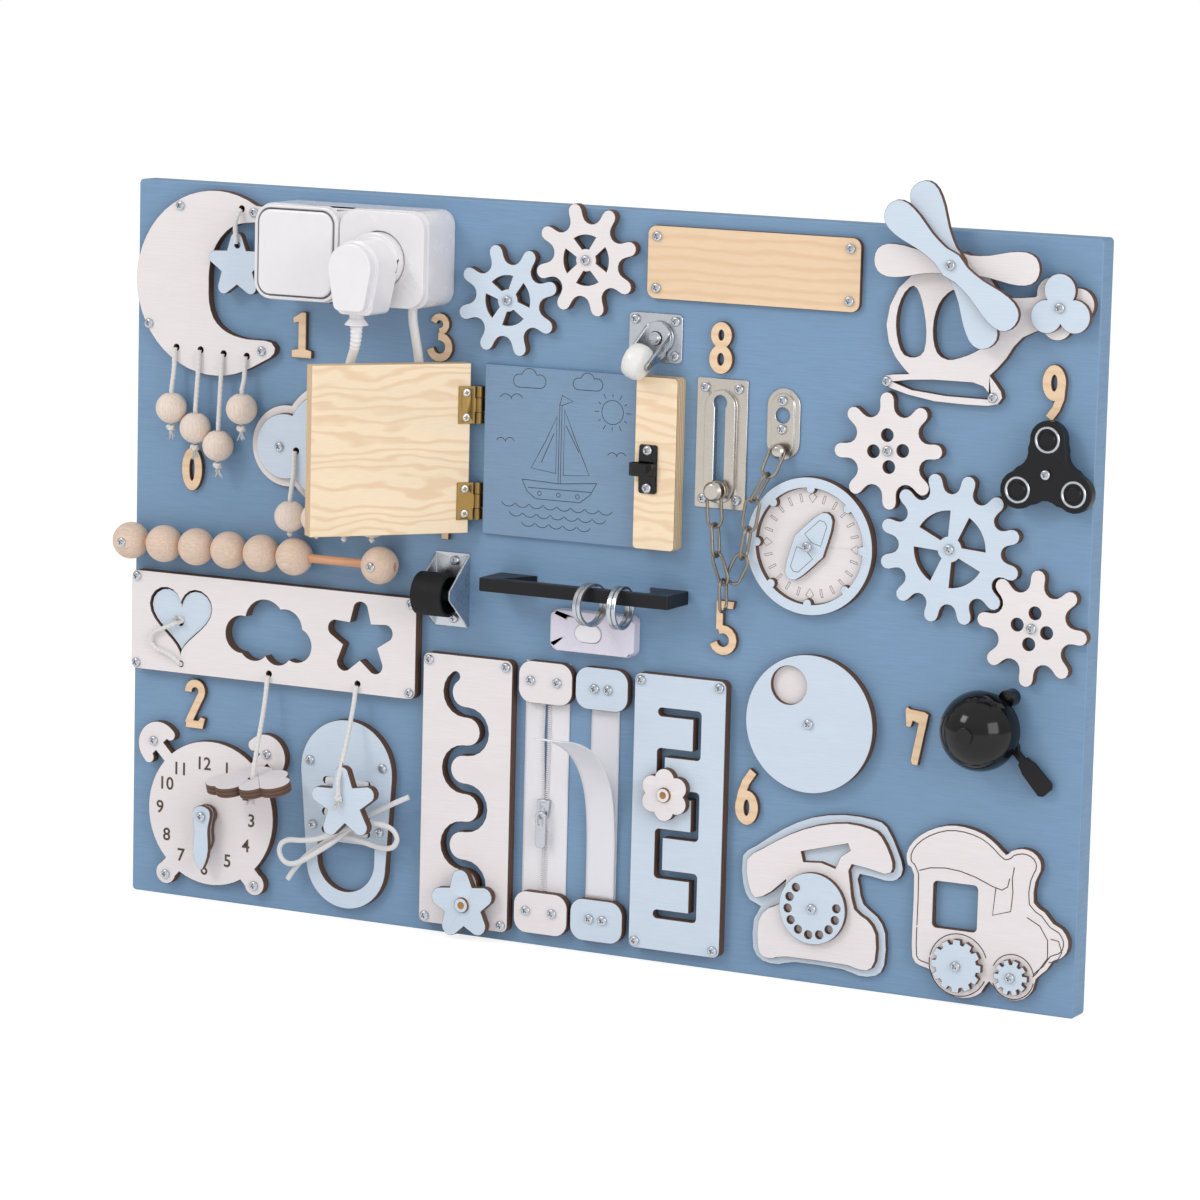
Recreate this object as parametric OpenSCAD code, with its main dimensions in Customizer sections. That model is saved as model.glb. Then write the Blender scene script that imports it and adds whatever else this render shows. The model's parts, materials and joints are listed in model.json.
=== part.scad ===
// Wooden busy board: a painted panel that hangs on a wall and carries gears, latches,
// beads, knobs in slots, a door, a clock and other things for small hands.
// Shapes are drawn as seen from the front: x to the right and y up from the panel's lower
// left corner, z out of its front face. front() turns that into the part's own frame.

/* [Board] */
// Width of the board
board_w = 750; // [740:1:790]
// Height of the board
board_h = 525; // [520:1:560]
// Thickness of the board
board_t = 18; // [15:1:24]
// Corner radius of the board
board_r = 3; // [1:0.5:8]
// Radius of the two hanging holes in the back
hang_r = 4.5; // [3:0.5:6]
// Depth of the hanging holes
hang_depth = 10; // [6:1:12]
// Distance of each hanging hole from the middle of the board
hang_x = 300; // [200:5:340]

/* [Cut plates] */
// Thickness of the moon, clock and shoe plates
plate_t = 7; // [5:0.5:8]
// Thickness of the sorter plate
sorter_t = 9; // [7:0.5:11]
// Thickness of the two slot plates
slot_plate_t = 8; // [7:0.5:9]
// Thickness of each thin layer: clouds, phone, dials, numerals
thin_t = 4; // [3:0.5:5]
// Thickness of the helicopter and train plates
figure_t = 6; // [5:0.5:7]
// Corner radius of the rectangular plates
plate_r = 5; // [3:0.5:8]

/* [Screws] */
// Radius of a pan head
head_r = 3.5; // [3:0.1:4]
// Height of a pan head
head_t = 2.3; // [1.8:0.1:3]
// Radius of a screw's shank
shank_r = 1.75; // [1.4:0.05:2]
// Depth of a screw in the board
bite = 10; // [6:0.5:13]

/* [Fits] */
// Gap between a turning piece and what it faces
gap = 0.3; // [0.2:0.05:0.5]
// Radial gap of a bore that turns on its shank
run = 0.05; // [0.03:0.01:0.09]

/* [Gears] */
// Thickness of the gears
gear_t = 7; // [5:0.5:8]
// Width of a gear tooth
tooth_w = 10.5; // [9:0.25:11]
// Tip radius of the small gears
gear_tip = 40; // [39:0.1:40.3]
// Root radius of the small gears
gear_root = 25.3; // [24:0.1:25.6]
// Tip radius of the large gear
large_tip = 52; // [51:0.1:52.2]
// Root radius of the large gear
large_root = 37.5; // [36.5:0.1:37.6]

/* [Door] */
// Side of the square door
door_w = 120; // [116:1:121]
// Thickness of the door
door_t = 12; // [9:0.5:14]
// Angle at which the door stands open
door_open = 131; // [90:1:133]
// Length of a hinge
hinge_l = 26.5; // [22:0.5:30]

/* [Beads] */
// Radius of an abacus bead
bead_r = 13.5; // [13:0.1:13.6]
// Radius of the abacus rod
rod_r = 3.25; // [2.5:0.25:4]
// Radius of a hanging bead
charm_r = 11.3; // [9:0.1:11.5]
// Radius of the white cords
cord_r = 1.8; // [1.4:0.1:2]

/* [Chain] */
// Length of a link over its wire
link_l = 25; // [24.5:0.1:25.4]
// Width of a link over its wire
link_w = 13; // [12:0.25:13.5]
// Radius of the link wire
wire_r = 1.15; // [1:0.05:1.2]

/* [Fittings] */
// Length of the pull handle
handle_l = 148.5; // [146:0.5:152]
// Height of the handle's bar
handle_h = 9.5; // [8:0.5:10]
// Distance of the handle's front from the board
handle_d = 32; // [30:0.5:36]
// Radius of the roller
roller_r = 15.5; // [13:0.5:16]
// Radius of the bell's dome
dome_r = 27.5; // [26:0.5:28]
// Radius of the caster's wheel
caster_r = 12.5; // [11:0.5:13]
// Depth of the switch case without its frames
case_d = 38; // [36:1:42]
// Travel of the push light's button
button_travel = 1.5; // [1:0.1:1.6]

/* [Hidden] */
$fn = 48;

white = [0.91, 0.89, 0.9];
pale_blue = [0.77, 0.84, 0.9];
board_blue = [0.44, 0.57, 0.7];
birch = [0.92, 0.78, 0.6];
bead_wood = [0.84, 0.73, 0.63];
zinc = [0.75, 0.76, 0.78];
black = [0.08, 0.08, 0.09];

// Places on the board, from its lower left corner
moon_c = [69.6, 453.7];
moon_screws = [[39.6, 508], [101.6, 506.5], [14.1, 421.5], [109.6, 407.5]];
moon_star_hole = [91.1, 508.5];
moon_cord_holes = [[37.5, 405.5], [58, 405], [77.5, 403.5], [97, 403]];
moon_bead_z = [362, 349, 337.5, 365.5];
cloud_lobes = [[130.4, 340.5, 29.5], [172, 343, 47], [213.6, 340.5, 29.5]];
cloud_screws = [[126.2, 340], [217.8, 340]];
cloud_cord_x = [140, 162, 185, 208];
cloud_cord_y = 338;
cloud_bead_y = [291.6, 292, 291.6, 293];
case_x = 124;
case_y = 449;
case_w = 138.5;
case_h = 68;
plug_c = [226, 482];
gear_blue_c = [309.2, 456.7];
gear_white_c = [370.1, 488.5];
gear_upper_c = [602.9, 373.9];
gear_large_c = [650.4, 311.2];
gear_lower_c = [712, 263.1];
hub_c = [651.3, 503];
tail_c = [724.8, 478.5];
caster_c = [425, 438];
spinner_c = [721.3, 368];
hinge_x = 287;
hinge_z = 5;
door_y = 291;
hinge_y = [300.5, 368.5];
panel_x = 291;
strip_x = 414;
track_c = [475, 368.4];
anchor_c = [521.7, 385.5];
slider_y = 336.5;
slot_top = 397;
compass_c = [546.7, 304.3];
viewer_c = [551, 182];
dial_r = 47.4;
rod_y = 262.5;
end_bead_x = [4.8, 214];
bead_x = [33.3, 60.8, 88.3, 115.8, 143.3];
sorter_x = 3;
sorter_y = 167.5;
heart_c = [45.2, 206];
sorter_cloud_c = [119.2, 205];
sorter_star_c = [196.2, 206.5];
roller_c = [266, 248];
handle_x = 304;
handle_y = 259.25;
light_c = [383, 229];
wave_x = 248;
wave_y = 7.5;
maze_x = 416.8;
maze_y = 10;
zip_x = 345;
strap_x = 391;
clock_c = [71.5, 66];
clock_r = 53.3;
hand_c = [70.8, 65.5];
shoe_top = [185.6, 109];
shoe_toe = [186.3, 42];
shoe_toe_r = 33;
dial_c = [559.5, 55];
wheel_c = [[667, 28], [707, 24.9]];
bell_c = [681, 192];
lever_c = [700.5, 181];

// Heights over the front face that follow from the sizes above
cloud_face = 2 * thin_t;
clamp_z = 1.2;
door_rest = [hinge_x, 0, hinge_z];
slot_w = 7;
maze_w = 5.8;
dial_face = 2 * thin_t + gap;

// ---- shared shapes ----
module front() {
  translate([-board_w / 2, -board_t, -board_h / 2]) rotate([90, 0, 0]) children();
}
module sheet(z, t) { translate([0, 0, z]) linear_extrude(t) children(); }
module disc(c, r, z, t) { translate([c[0], c[1], z]) cylinder(h = t, r = r); }
module rounded(x, y, w, h, r) {
  translate([x + r, y]) square([w - 2 * r, h]);
  translate([x, y + r]) square([w, h - 2 * r]);
  for (i = [0, 1], j = [0, 1])
    translate([i == 0 ? x + r : x + w - r, j == 0 ? y + r : y + h - r]) circle(r);
}
module holes(places, r) { for (p = places) translate([p[0], p[1]]) circle(r); }

function unit(v) = v / norm(v);
function turned(a) = [cos(a), sin(a)];
function arc(c, r, a0, a1, n = 10) =
  [for (i = [0 : n]) c + r * turned(a0 + (a1 - a0) * i / n)];
function oval(c, rx, ry, n = 28) =
  [for (i = [0 : n - 1]) c + [rx * cos(360 * i / n), ry * sin(360 * i / n)]];
function spline(p, a, b, c, t) =
  0.5 * (2 * a + (b - p) * t + (2 * p - 5 * a + 4 * b - c) * t * t
         + (3 * a - p - 3 * b + c) * t * t * t);
function smooth(p, n = 3) = let (m = len(p))
  [for (i = [0 : m - 1], k = [0 : n - 1])
    spline(p[(i + m - 1) % m], p[i], p[(i + 1) % m], p[(i + 2) % m], k / n)];
// The same for a line with two ends
function smooth_line(p, n = 2) = let (m = len(p) - 1)
  concat([for (i = [0 : m - 1], k = [0 : n - 1])
    spline(p[max(i - 1, 0)], p[i], p[i + 1], p[min(i + 2, m)], k / n)], [p[m]]);
function shifted(p, d) = [for (q = p) q + d];
function heading(p, i) = unit(p[min(i + 1, len(p) - 1)] - p[max(i - 1, 0)]);
function side(p, i, d) = let (t = heading(p, i)) p[i] + d * [-t[1], t[0]];
function ribbon(p, w) = concat([for (i = [0 : len(p) - 1]) side(p, i, w / 2)],
  [for (i = [len(p) - 1 : -1 : 0]) side(p, i, -w / 2)]);
// The same with round ends
function round_ribbon(p, w) =
  let (m = len(p) - 1, t = heading(p, 0), u = heading(p, m), a = atan2(t[1], t[0]),
       b = atan2(u[1], u[0]))
  concat([for (i = [1 : m - 1]) side(p, i, w / 2)], arc(p[m], w / 2, b + 90, b - 90, 8),
    [for (i = [m - 1 : -1 : 1]) side(p, i, -w / 2)], arc(p[0], w / 2, a - 90, a - 270, 8));

function star(c, r, inner, phase, tip) =
  [for (k = [0 : 4]) let (a = phase + 72 * k)
    each concat(arc(c + (r - tip) * turned(a), tip, a - 60, a + 60, 5),
                [c + inner * turned(a + 36)])];
function heart(c, w, h, n = 36) =
  [for (i = [0 : n - 1]) let (a = 360 * i / n)
    c + [w / 32 * 16 * pow(sin(a), 3),
         h / 29 * (13 * cos(a) - 5 * cos(2 * a) - 2 * cos(3 * a) - cos(4 * a) + 2.5)]];

// Outline of a gear with round finger teeth and round roots
function gear_outline(n, tip, root, phase) =
  let (half = 180 / n, fillet = (root * sin(half) - tooth_w / 2) / (1 - sin(half)))
  [for (k = [0 : n - 1]) let (a = phase + 360 * k / n)
    each concat(arc((tip - tooth_w / 2) * turned(a), tooth_w / 2, a - 90, a + 90, 6),
      arc((root + fillet) * turned(a + half), fillet,
          a + half + 270 - half, a + half + 90 + half, 6))];

// A round tube along a route of points
function carried(n, t) = unit(n - (n * t) * t);
function sides_of(p, n, i = 0) =
  i == len(p) ? [] : let (m = carried(n, heading(p, i))) concat([m], sides_of(p, m, i + 1));
module tube(p, r, sides, start) {
  ns = sides_of(p, start);
  last = len(p) - 1;
  polyhedron(
    points = [for (i = [0 : last]) let (u = ns[i], v = cross(heading(p, i), u))
      for (k = [0 : sides - 1]) p[i] + r * (cos(360 * k / sides) * u + sin(360 * k / sides) * v)],
    faces = concat([[for (k = [0 : sides - 1]) k]],
      [[for (k = [sides - 1 : -1 : 0]) last * sides + k]],
      [for (i = [0 : last - 1], k = [0 : sides - 1]) let (a = i * sides + k,
          b = i * sides + (k + 1) % sides) each [[a, a + sides, b + sides], [a, b + sides, b]]]));
}

// A pan head screw whose head sits at height z
module screw(c, z) {
  translate([c[0], c[1], 0]) {
    translate([0, 0, -bite]) cylinder(h = bite + z + head_t / 2, r = shank_r, $fn = 24);
    translate([0, 0, z]) cylinder(h = head_t * 0.55, r = head_r, $fn = 32);
    translate([0, 0, z + head_t * 0.55])
      cylinder(h = head_t * 0.45, r1 = head_r, r2 = head_r * 0.66, $fn = 32);
  }
}
function bore() = shank_r + run;
function corners(x, y, w, h, e) =
  [[x + e, y + e], [x + w - e, y + e], [x + e, y + h - e], [x + w - e, y + h - e]];

// ---- the board and its screws ----
module board() {
  color(board_blue) difference() {
    front() sheet(-board_t, board_t) rounded(0, 0, board_w, board_h, board_r);
    for (i = [-1, 1]) translate([i * hang_x, -hang_depth, board_h / 2 - 45])
      rotate([-90, 0, 0]) cylinder(h = hang_depth + 1, r = hang_r);
  }
}

sorter_screws = corners(sorter_x, sorter_y, 239, 73, 4.5);
wave_screws = corners(wave_x, wave_y, 72, 195.5, 5);
maze_screws = corners(maze_x, maze_y, 70.8, 195, 5);
clamp_screws = [[zip_x - 10, 191], [zip_x + 11, 191], [zip_x - 10, 26], [zip_x + 11, 26],
  [strap_x - 5.3, 190], [strap_x + 5.3, 190], [strap_x - 5.3, 26], [strap_x + 5.3, 26]];
clock_screws = [[22.1, 115], [119, 115], [33.6, 16.8], [109.6, 16.8]];
shoe_screws = [[155.6, 115], [215.6, 115], [158.6, 68], [214, 68]];
name_screws = corners(416, 465, 161, 50.5, 7.5);
heli_screws = [[600, 420.8], [677.5, 415.3]];
track_screws = corners(455.7, 323.5, 38.6, 89.8, 6.5);
anchor_screws = [[anchor_c[0], anchor_c[1] + 16], [anchor_c[0], anchor_c[1] - 3.5]];
caster_screws = corners(402, 421, 41, 34, 5);
roller_screws = [[roller_c[0] + 2.5, 269.3], [roller_c[0] + 2.5, 228.3]];
catch_screws = [[425, 361], [425, 335]];
bracket_t = 1.5;
strip_t = 12;
rotor_t = 4;
rotor_z = [for (k = [0 : 2]) figure_t + thin_t + 2.5 * gap + k * (rotor_t + 1.5 * gap)];
spinner_z = 7.3;
spinner_t = 8;
hand_z = [9.3, 14.6];
clamp_t = 7;

module screws() {
  color(zinc) front() {
    for (p = concat(moon_screws, clock_screws, shoe_screws)) screw(p, plate_t);
    for (p = cloud_screws) screw(p, cloud_face);
    for (p = [gear_blue_c, gear_white_c, gear_upper_c, gear_large_c, gear_lower_c])
      screw(p, gear_t + 2 * gap);
    for (p = name_screws) screw(p, thin_t);
    for (p = heli_screws) screw(p, figure_t);
    screw(hub_c, rotor_z[2] + rotor_t + gap);
    screw(tail_c, figure_t + thin_t + 2 * gap);
    for (p = concat(track_screws, caster_screws, roller_screws)) screw(p, bracket_t);
    for (p = anchor_screws) screw(p, 3);
    for (p = catch_screws) screw(p, strip_t + bracket_t);
    screw(spinner_c, spinner_z + spinner_t + gap);
    screw(compass_c, dial_face + thin_t / 2 + gap);
    screw(viewer_c, dial_face + gap);
    for (x = end_bead_x) screw([x, rod_y], 2 * bead_r - 1);
    for (p = sorter_screws) screw(p, sorter_t);
    for (p = concat(wave_screws, maze_screws)) screw(p, slot_plate_t);
    for (p = clamp_screws) screw(p, clamp_z + clamp_t);
    screw(hand_c, hand_z[1] + thin_t + gap);
    screw(dial_c, 3 * thin_t + 2 * gap);
    for (p = wheel_c) screw(p, figure_t + thin_t + 2 * gap);
  }
}

// ---- moon with its star and beads ----
module moon_plate() {
  outline = concat(arc(moon_c, 66.8, 300, 60, 34),
    [[108.6, 511], [114.5, 509.5], [119.5, 505.5], [119.8, 501.5], [116, 499.5]],
    smooth_line([[106, 499.4], [95, 498.4], [84, 495.5], [74, 487], [67, 475], [64.5, 463],
      [64.3, 452], [64.8, 440], [68.5, 429], [76, 421.5], [86, 417.2], [97, 415.4]], 2),
    [[112, 415.4], [117.5, 414.4], [120.7, 410.5], [120, 406.5], [116.5, 403]]);
  color(white) front() difference() {
    sheet(0, plate_t) polygon(outline);
    sheet(-1, plate_t + 2) {
      holes(moon_screws, bore());
      holes(concat([moon_star_hole], moon_cord_holes), cord_r + 0.5);
    }
  }
}

star_z = plate_t + gap;
module moon_star() {
  c = [91.3, 468];
  color(pale_blue) front() difference() {
    sheet(star_z, figure_t) polygon(star(c, 24, 13.6, 92, 5));
    disc([91.6, 483], cord_r + 0.5, 0, 30);
  }
  color(white) front()
    tube([[91.1, 508, star_z + cord_r], [91.2, 500, star_z + figure_t + cord_r + 0.4],
      [91.4, 492, star_z + figure_t + cord_r + 0.6], [91.6, 484, star_z + figure_t + cord_r + 0.3]],
      cord_r, 8, [1, 0, 0]);
}

bead_z = 13;
cloud_bead_z = bead_z + 2;
module hung_bead(x, y, z) {
  color(bead_wood) difference() {
    intersection() {
      translate([x, y, z]) sphere(charm_r);
      translate([x - 20, y - charm_r * 0.93, z - 20]) cube([40, charm_r * 1.86, 40]);
    }
    translate([x, y + 20, z]) rotate([90, 0, 0]) cylinder(h = 40, r = cord_r + 0.4);
  }
}
module hung_cord(x, y, z, hole_y, face, knot) {
  color(white) {
    tube([[x, hole_y, face + gap + cord_r], [x, hole_y - 6, face + gap + cord_r + 0.6],
      [x, hole_y - 16, face + gap + cord_r + 1], [x, y + 14, z],
      [x, y + charm_r * 0.93, z], [x, y - charm_r * 0.93 - 1, z]],
      cord_r, 8, [1, 0, 0]);
    translate([x, y - charm_r * 0.93 - knot - 0.2, z]) sphere(knot, $fn = 16);
  }
}
module moon_beads() {
  front() for (i = [0 : len(moon_bead_z) - 1]) {
    hung_bead(moon_cord_holes[i][0], moon_bead_z[i], bead_z);
    hung_cord(moon_cord_holes[i][0], moon_bead_z[i], bead_z, moon_cord_holes[i][1], plate_t, 3.6);
  }
}

// ---- cloud with its beads ----
module lobes(list, d) { for (c = list) translate([c[0], c[1]]) circle(c[2] + d); }
module cloud_plate() {
  for (k = [0, 1]) color(k == 0 ? white : pale_blue) front() difference() {
    sheet(k * thin_t, thin_t) lobes(cloud_lobes, -6 * k);
    sheet(-1, 20) {
      holes(cloud_screws, bore());
      for (x = cloud_cord_x) translate([x, cloud_cord_y]) circle(cord_r + 0.5);
    }
  }
}
module cloud_beads() {
  front() for (i = [0 : len(cloud_cord_x) - 1]) {
    hung_bead(cloud_cord_x[i], cloud_bead_y[i], cloud_bead_z);
    hung_cord(cloud_cord_x[i], cloud_bead_y[i], cloud_bead_z, cloud_cord_y, cloud_face, 2.1);
  }
}

// ---- switch, socket, plug and its cord ----
frame_t = 6;
rocker_c = [case_x + case_w / 4, case_y + case_h / 2];
rocker_w = 60;
rocker_bed = case_d - 2;
fulcrum_r = 2.7;
rocker_z = rocker_bed + fulcrum_r + gap;
rocker_t = 6.5;
well_r = 20.5;
well_z = case_d - 8;
pin_r = 2.4;
pin_gap = 9.5;
module switch_box() {
  half = case_w / 2;
  union() {
    difference() {
      union() {
        sheet(0, case_d) rounded(case_x, case_y, case_w, case_h, 11);
        for (i = [0, 1]) sheet(case_d, frame_t)
          rounded(case_x + i * half + 0.6, case_y + 0.6, half - 1.2, case_h - 1.2, 13);
      }
      sheet(rocker_bed, 20)
        rounded(rocker_c[0] - rocker_w / 2 - 0.9, rocker_c[1] - rocker_w / 2 - 0.9,
                rocker_w + 1.8, rocker_w + 1.8, 10);
      disc(plug_c, well_r, well_z, 30);
      for (i = [-1, 1]) disc([plug_c[0] + i * pin_gap, plug_c[1]], pin_r + gap, 8, 40);
    }
    translate([rocker_c[0] - rocker_w / 2, rocker_c[1], rocker_bed])
      rotate([0, 90, 0]) cylinder(h = rocker_w, r = fulcrum_r);
  }
}
module switch_rocker() {
  color(white) front() sheet(rocker_z, rocker_t)
    rounded(rocker_c[0] - rocker_w / 2, rocker_c[1] - rocker_w / 2, rocker_w, rocker_w, 9.5);
}

plug_head = [226, 479];
plug_front = 85;
relief_z = 66;
lead_x = 222;
function plug_outline(r, foot_w, foot_y) = concat(arc(plug_head, r, -12, 192, 16),
  arc([plug_head[0] - foot_w / 2 + 5, foot_y + 5], 5, 190, 270, 4),
  arc([plug_head[0] + foot_w / 2 - 5, foot_y + 5], 5, 270, 350, 4));
module plug() {
  color(white) front() {
    disc(plug_c, well_r - 0.5, well_z + gap, 22);
    sheet(51, 26) polygon(plug_outline(19, 28, 446));
    sheet(77, plug_front - 77) polygon(plug_outline(17, 25, 449));
    translate([lead_x, 447, relief_z]) rotate([90, 0, 0])
      cylinder(h = 4, r = 4.5);
    translate([lead_x, 443, relief_z]) rotate([90, 0, 0])
      cylinder(h = 5, r1 = 5, r2 = 9);
  }
  color(zinc) front() for (i = [-1, 1])
    disc([plug_c[0] + i * pin_gap, plug_c[1]], pin_r, 14, well_z + 1 - 14);
}
lead_r = 3.3;
lead_top = [[222, 438, 66], [222, 435, 66], [221.3, 428, 65.4], [219.3, 421.5, 63.6],
  [216, 415.9, 60.8], [212.8, 410.3, 58], [210.8, 403.8, 56.2], [210.1, 396.8, 55.6],
  [210.1, 387, 55.6]];
lead_loop = [for (a = [180 : 18 : 360]) [228 + 17.9 * cos(a), 378 + 26.7 * sin(a), 35.8 - 19.8 * cos(a)]];
lead_end = [[245.9, 388, 16], [245.6, 400, 16.5], [244.6, 414, 17.9], [243, 428, 19.9],
  [241.8, 438, 21.2], [241.5, 444, 21.5], [241.5, 449, 21.5]];
module plug_cord() {
  color(white) front() tube(concat(lead_top, lead_loop, lead_end), lead_r, 8, [1, 0, 0]);
}

// ---- gears ----
module gear(c, n, tip, root, phase) {
  front() difference() {
    translate([c[0], c[1], gap]) linear_extrude(gear_t) difference() {
      polygon(gear_outline(n, tip, root, phase));
      children();
    }
    disc(c, bore(), -1, 30);
  }
}
module round_windows(phase) {
  for (k = [0 : 3]) translate(10.8 * turned(phase + 90 * k)) circle(4.4);
}
function quarter(r0, r1, a) = concat(arc([0, 0], r1, a + 16, a + 74, 8),
  arc([0, 0], r0, a + 64, a + 26, 4));
module quarter_windows(r0, r1, phase) {
  for (k = [0 : 3]) polygon(quarter(r0, r1, phase + 90 * k));
}
module gear_blue() {
  color(pale_blue) gear(gear_blue_c, 8, gear_tip, gear_root, 17) quarter_windows(8, 17.5, 62);
}
module gear_white() {
  color(white) gear(gear_white_c, 8, gear_tip, gear_root, 16) quarter_windows(8, 17.5, 50);
}
module gear_upper() {
  color(white) gear(gear_upper_c, 8, gear_tip, gear_root, 3.3) round_windows(5);
}
module gear_large() {
  color(pale_blue) gear(gear_large_c, 12, large_tip, large_root, 15)
    quarter_windows(9, 26, 75);
}
module gear_lower() {
  color(white) gear(gear_lower_c, 8, gear_tip, gear_root, -5.2) round_windows(-10);
}

// ---- natural birch: name plate, catch strip, numerals ----
stroke = 6.2;
module loop(c, rx, ry, hx, hy) {
  difference() {
    polygon(oval(c, rx, ry));
    polygon(oval(c, hx, hy, 20));
  }
}
module numeral(n) {
  if (n == 0) loop([9, 16], 8.8, 16, 2, 8.5);
  if (n == 1) polygon([[0.5, 0], [17, 0], [17, 5.5], [12.3, 6.5], [12.3, 33], [8.5, 33],
    [1.2, 28.5], [2, 24.5], [5.8, 25.5], [5.8, 6.5], [0.5, 5.5]]);
  if (n == 2) {
    polygon(ribbon(concat(arc([9, 27.5], 5.8, 190, -25, 10), [[10, 17], [5, 7], [3.2, 3]]), stroke));
    polygon([[1, 0], [16, 0], [18, 8], [14, 9], [12, 6], [2, 6]]);
  }
  if (n == 3) {
    polygon(ribbon(arc([8.5, 26.8], 5.2, 170, -95, 10), 5.4));
    polygon(ribbon(arc([8.5, 10.6], 7.6, 100, -170, 12), stroke));
  }
  if (n == 4) polygon([[10, 0], [16, 0], [16, 8], [18, 8], [18, 13], [16, 13], [16, 36], [11, 36],
    [0, 13], [0, 8], [10, 8]]);
  if (n == 5) {
    polygon([[2.5, 39], [16.5, 39], [15.5, 33.5], [8, 33.5], [8, 20], [2.5, 18]]);
    polygon(ribbon(arc([8.2, 11.5], 7.6, 120, -165, 12), stroke));
  }
  if (n == 6) {
    loop([9, 12], 9, 12.3, 2, 5.5);
    polygon(ribbon([[3.6, 14], [5, 22], [8, 30], [13.5, 38]], 6.4));
  }
  if (n == 7) polygon([[1.5, 26], [5, 26], [6.5, 30.5], [10.5, 29], [5.5, 3], [7, 0.5], [11, 0],
    [18, 36], [15, 37.5], [4, 38.5], [2, 40], [0.5, 38]]);
  if (n == 8) {
    loop([9, 26.8], 8.2, 9.2, 2, 3.6);
    loop([9, 10.2], 9, 10.2, 2.4, 4.2);
  }
  if (n == 9) {
    loop([8.5, 25], 8.6, 12.2, 2, 5.4);
    polygon(ribbon([[13.8, 24], [13.2, 15], [10.5, 8], [5.5, 1]], 6.2));
  }
}
numeral_at = [[41, 301.5], [132, 404.5], [46, 127], [245, 409.5], [248, 284], [473.5, 221.5],
  [494.5, 106], [620, 161], [465, 416.5], [711.5, 403]];
module birch_trims() {
  color(birch) front() {
    for (n = [0 : 9]) translate([numeral_at[n][0], numeral_at[n][1], 0])
      linear_extrude(thin_t) numeral(n);
    difference() {
      sheet(0, thin_t) rounded(416, 465, 161, 50.5, 6.5);
      sheet(-1, 20) holes(name_screws, bore());
    }
    difference() {
      sheet(0, strip_t) rounded(strip_x, 292, 32, 120, 3);
      sheet(-1, 30) holes(catch_screws, bore());
    }
  }
}

// ---- picture plates: clock, helicopter, train ----
heli_d = [3, 0];
heli_body = shifted(smooth([[622, 497], [612, 493], [603, 484], [597, 472], [594.8, 459], [597, 447],
  [602.5, 437], [609, 430], [612.5, 427]], 1), heli_d);
heli_rest = shifted([[600, 425.8], [596, 425], [593.6, 422], [594.2, 418.8], [600, 416], [612, 412.8],
  [632, 409.6], [655, 409], [671, 409.3], [678, 411], [681.2, 415.5], [680, 420], [676, 425],
  [671.6, 429.8], [677, 435], [683, 442], [688, 450], [694, 456.5], [703, 461], [709, 463],
  [716, 459.5], [726, 461], [733, 469], [733.5, 482], [727, 491], [716, 493.5], [707, 489],
  [702, 484.4], [694, 483.4], [684, 482.6], [676, 486], [668, 497], [661, 506], [650, 511],
  [638, 508], [630, 501]], heli_d);
heli_window = [shifted(smooth([[614, 486], [608, 481.5], [603.5, 471], [602.3, 459], [604.5, 447],
  [609, 439.5], [617, 438.5], [623, 443], [624.2, 456], [622, 470], [618.5, 481]], 2), heli_d),
  shifted(smooth([[646, 485.5], [639, 482.5], [633, 475], [629.8, 464], [629.8, 452], [633, 442.5],
  [640, 438.5], [650, 440.5], [661, 445.5], [670, 452.5], [671, 460], [665, 471], [656, 482]], 2),
  heli_d), shifted([[601, 420.8], [614, 422.8], [630, 424], [660, 424.2], [667, 422.3], [672.5, 416.5],
  [671, 414], [640, 414.2], [615, 416.4]], heli_d)];
module helicopter() {
  difference() {
    sheet(0, figure_t) difference() {
      union() {
        polygon(concat(heli_body, heli_rest));
        trefoil(132);
      }
      for (w = heli_window) polygon(w);
    }
    sheet(-1, 20) holes(concat(heli_screws, [hub_c, tail_c]), bore());
  }
}

ear_r = 17;
module clock_ear(s) {
  translate([clock_c[0] + s * 45.8, 112.5]) rotate(s * -45) {
    intersection() {
      circle(ear_r);
      translate([-20, -2]) square([40, 30]);
    }
    for (i = [-1, 1]) translate([i * 12.8, -1.5]) circle(4.4);
    translate([-4.5, -14]) square([9, 14]);
  }
}
module clock() {
  difference() {
    sheet(0, plate_t) difference() {
      union() {
        translate(clock_c) circle(clock_r);
        for (s = [-1, 1]) {
          clock_ear(s);
          translate([clock_c[0] + s * 38, 17.8]) circle(8.3);
          translate([clock_c[0] + s * 32, 24.5]) rotate(s * 45) square([15, 13], center = true);
        }
      }
      holes(clock_screws, bore());
    }
    disc(hand_c, bore(), -1, 30);
  }
}

function clock_hand(l) = smooth([[-7.6, 1], [-6, 6], [0, 8], [6, 6], [7.6, 1], [6, -6], [5.6, -12],
  [6.2, -l * 0.62], [4, -l * 0.85], [0, -l], [-5, -l * 0.85], [-7, -l * 0.62], [-5.8, -12],
  [-6.5, -6]], 2);
module hand(l, z0, z) {
  color(pale_blue) front() difference() {
    union() {
      sheet(z, thin_t) translate(hand_c) polygon(clock_hand(l));
      disc(hand_c, 7, z0, z - z0);
    }
    disc(hand_c, bore(), -1, 40);
  }
}
module hour_hand() { hand(29, plate_t + gap, hand_z[0]); }
module minute_hand() { hand(40, hand_z[0] + thin_t + gap, hand_z[1]); }

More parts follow.
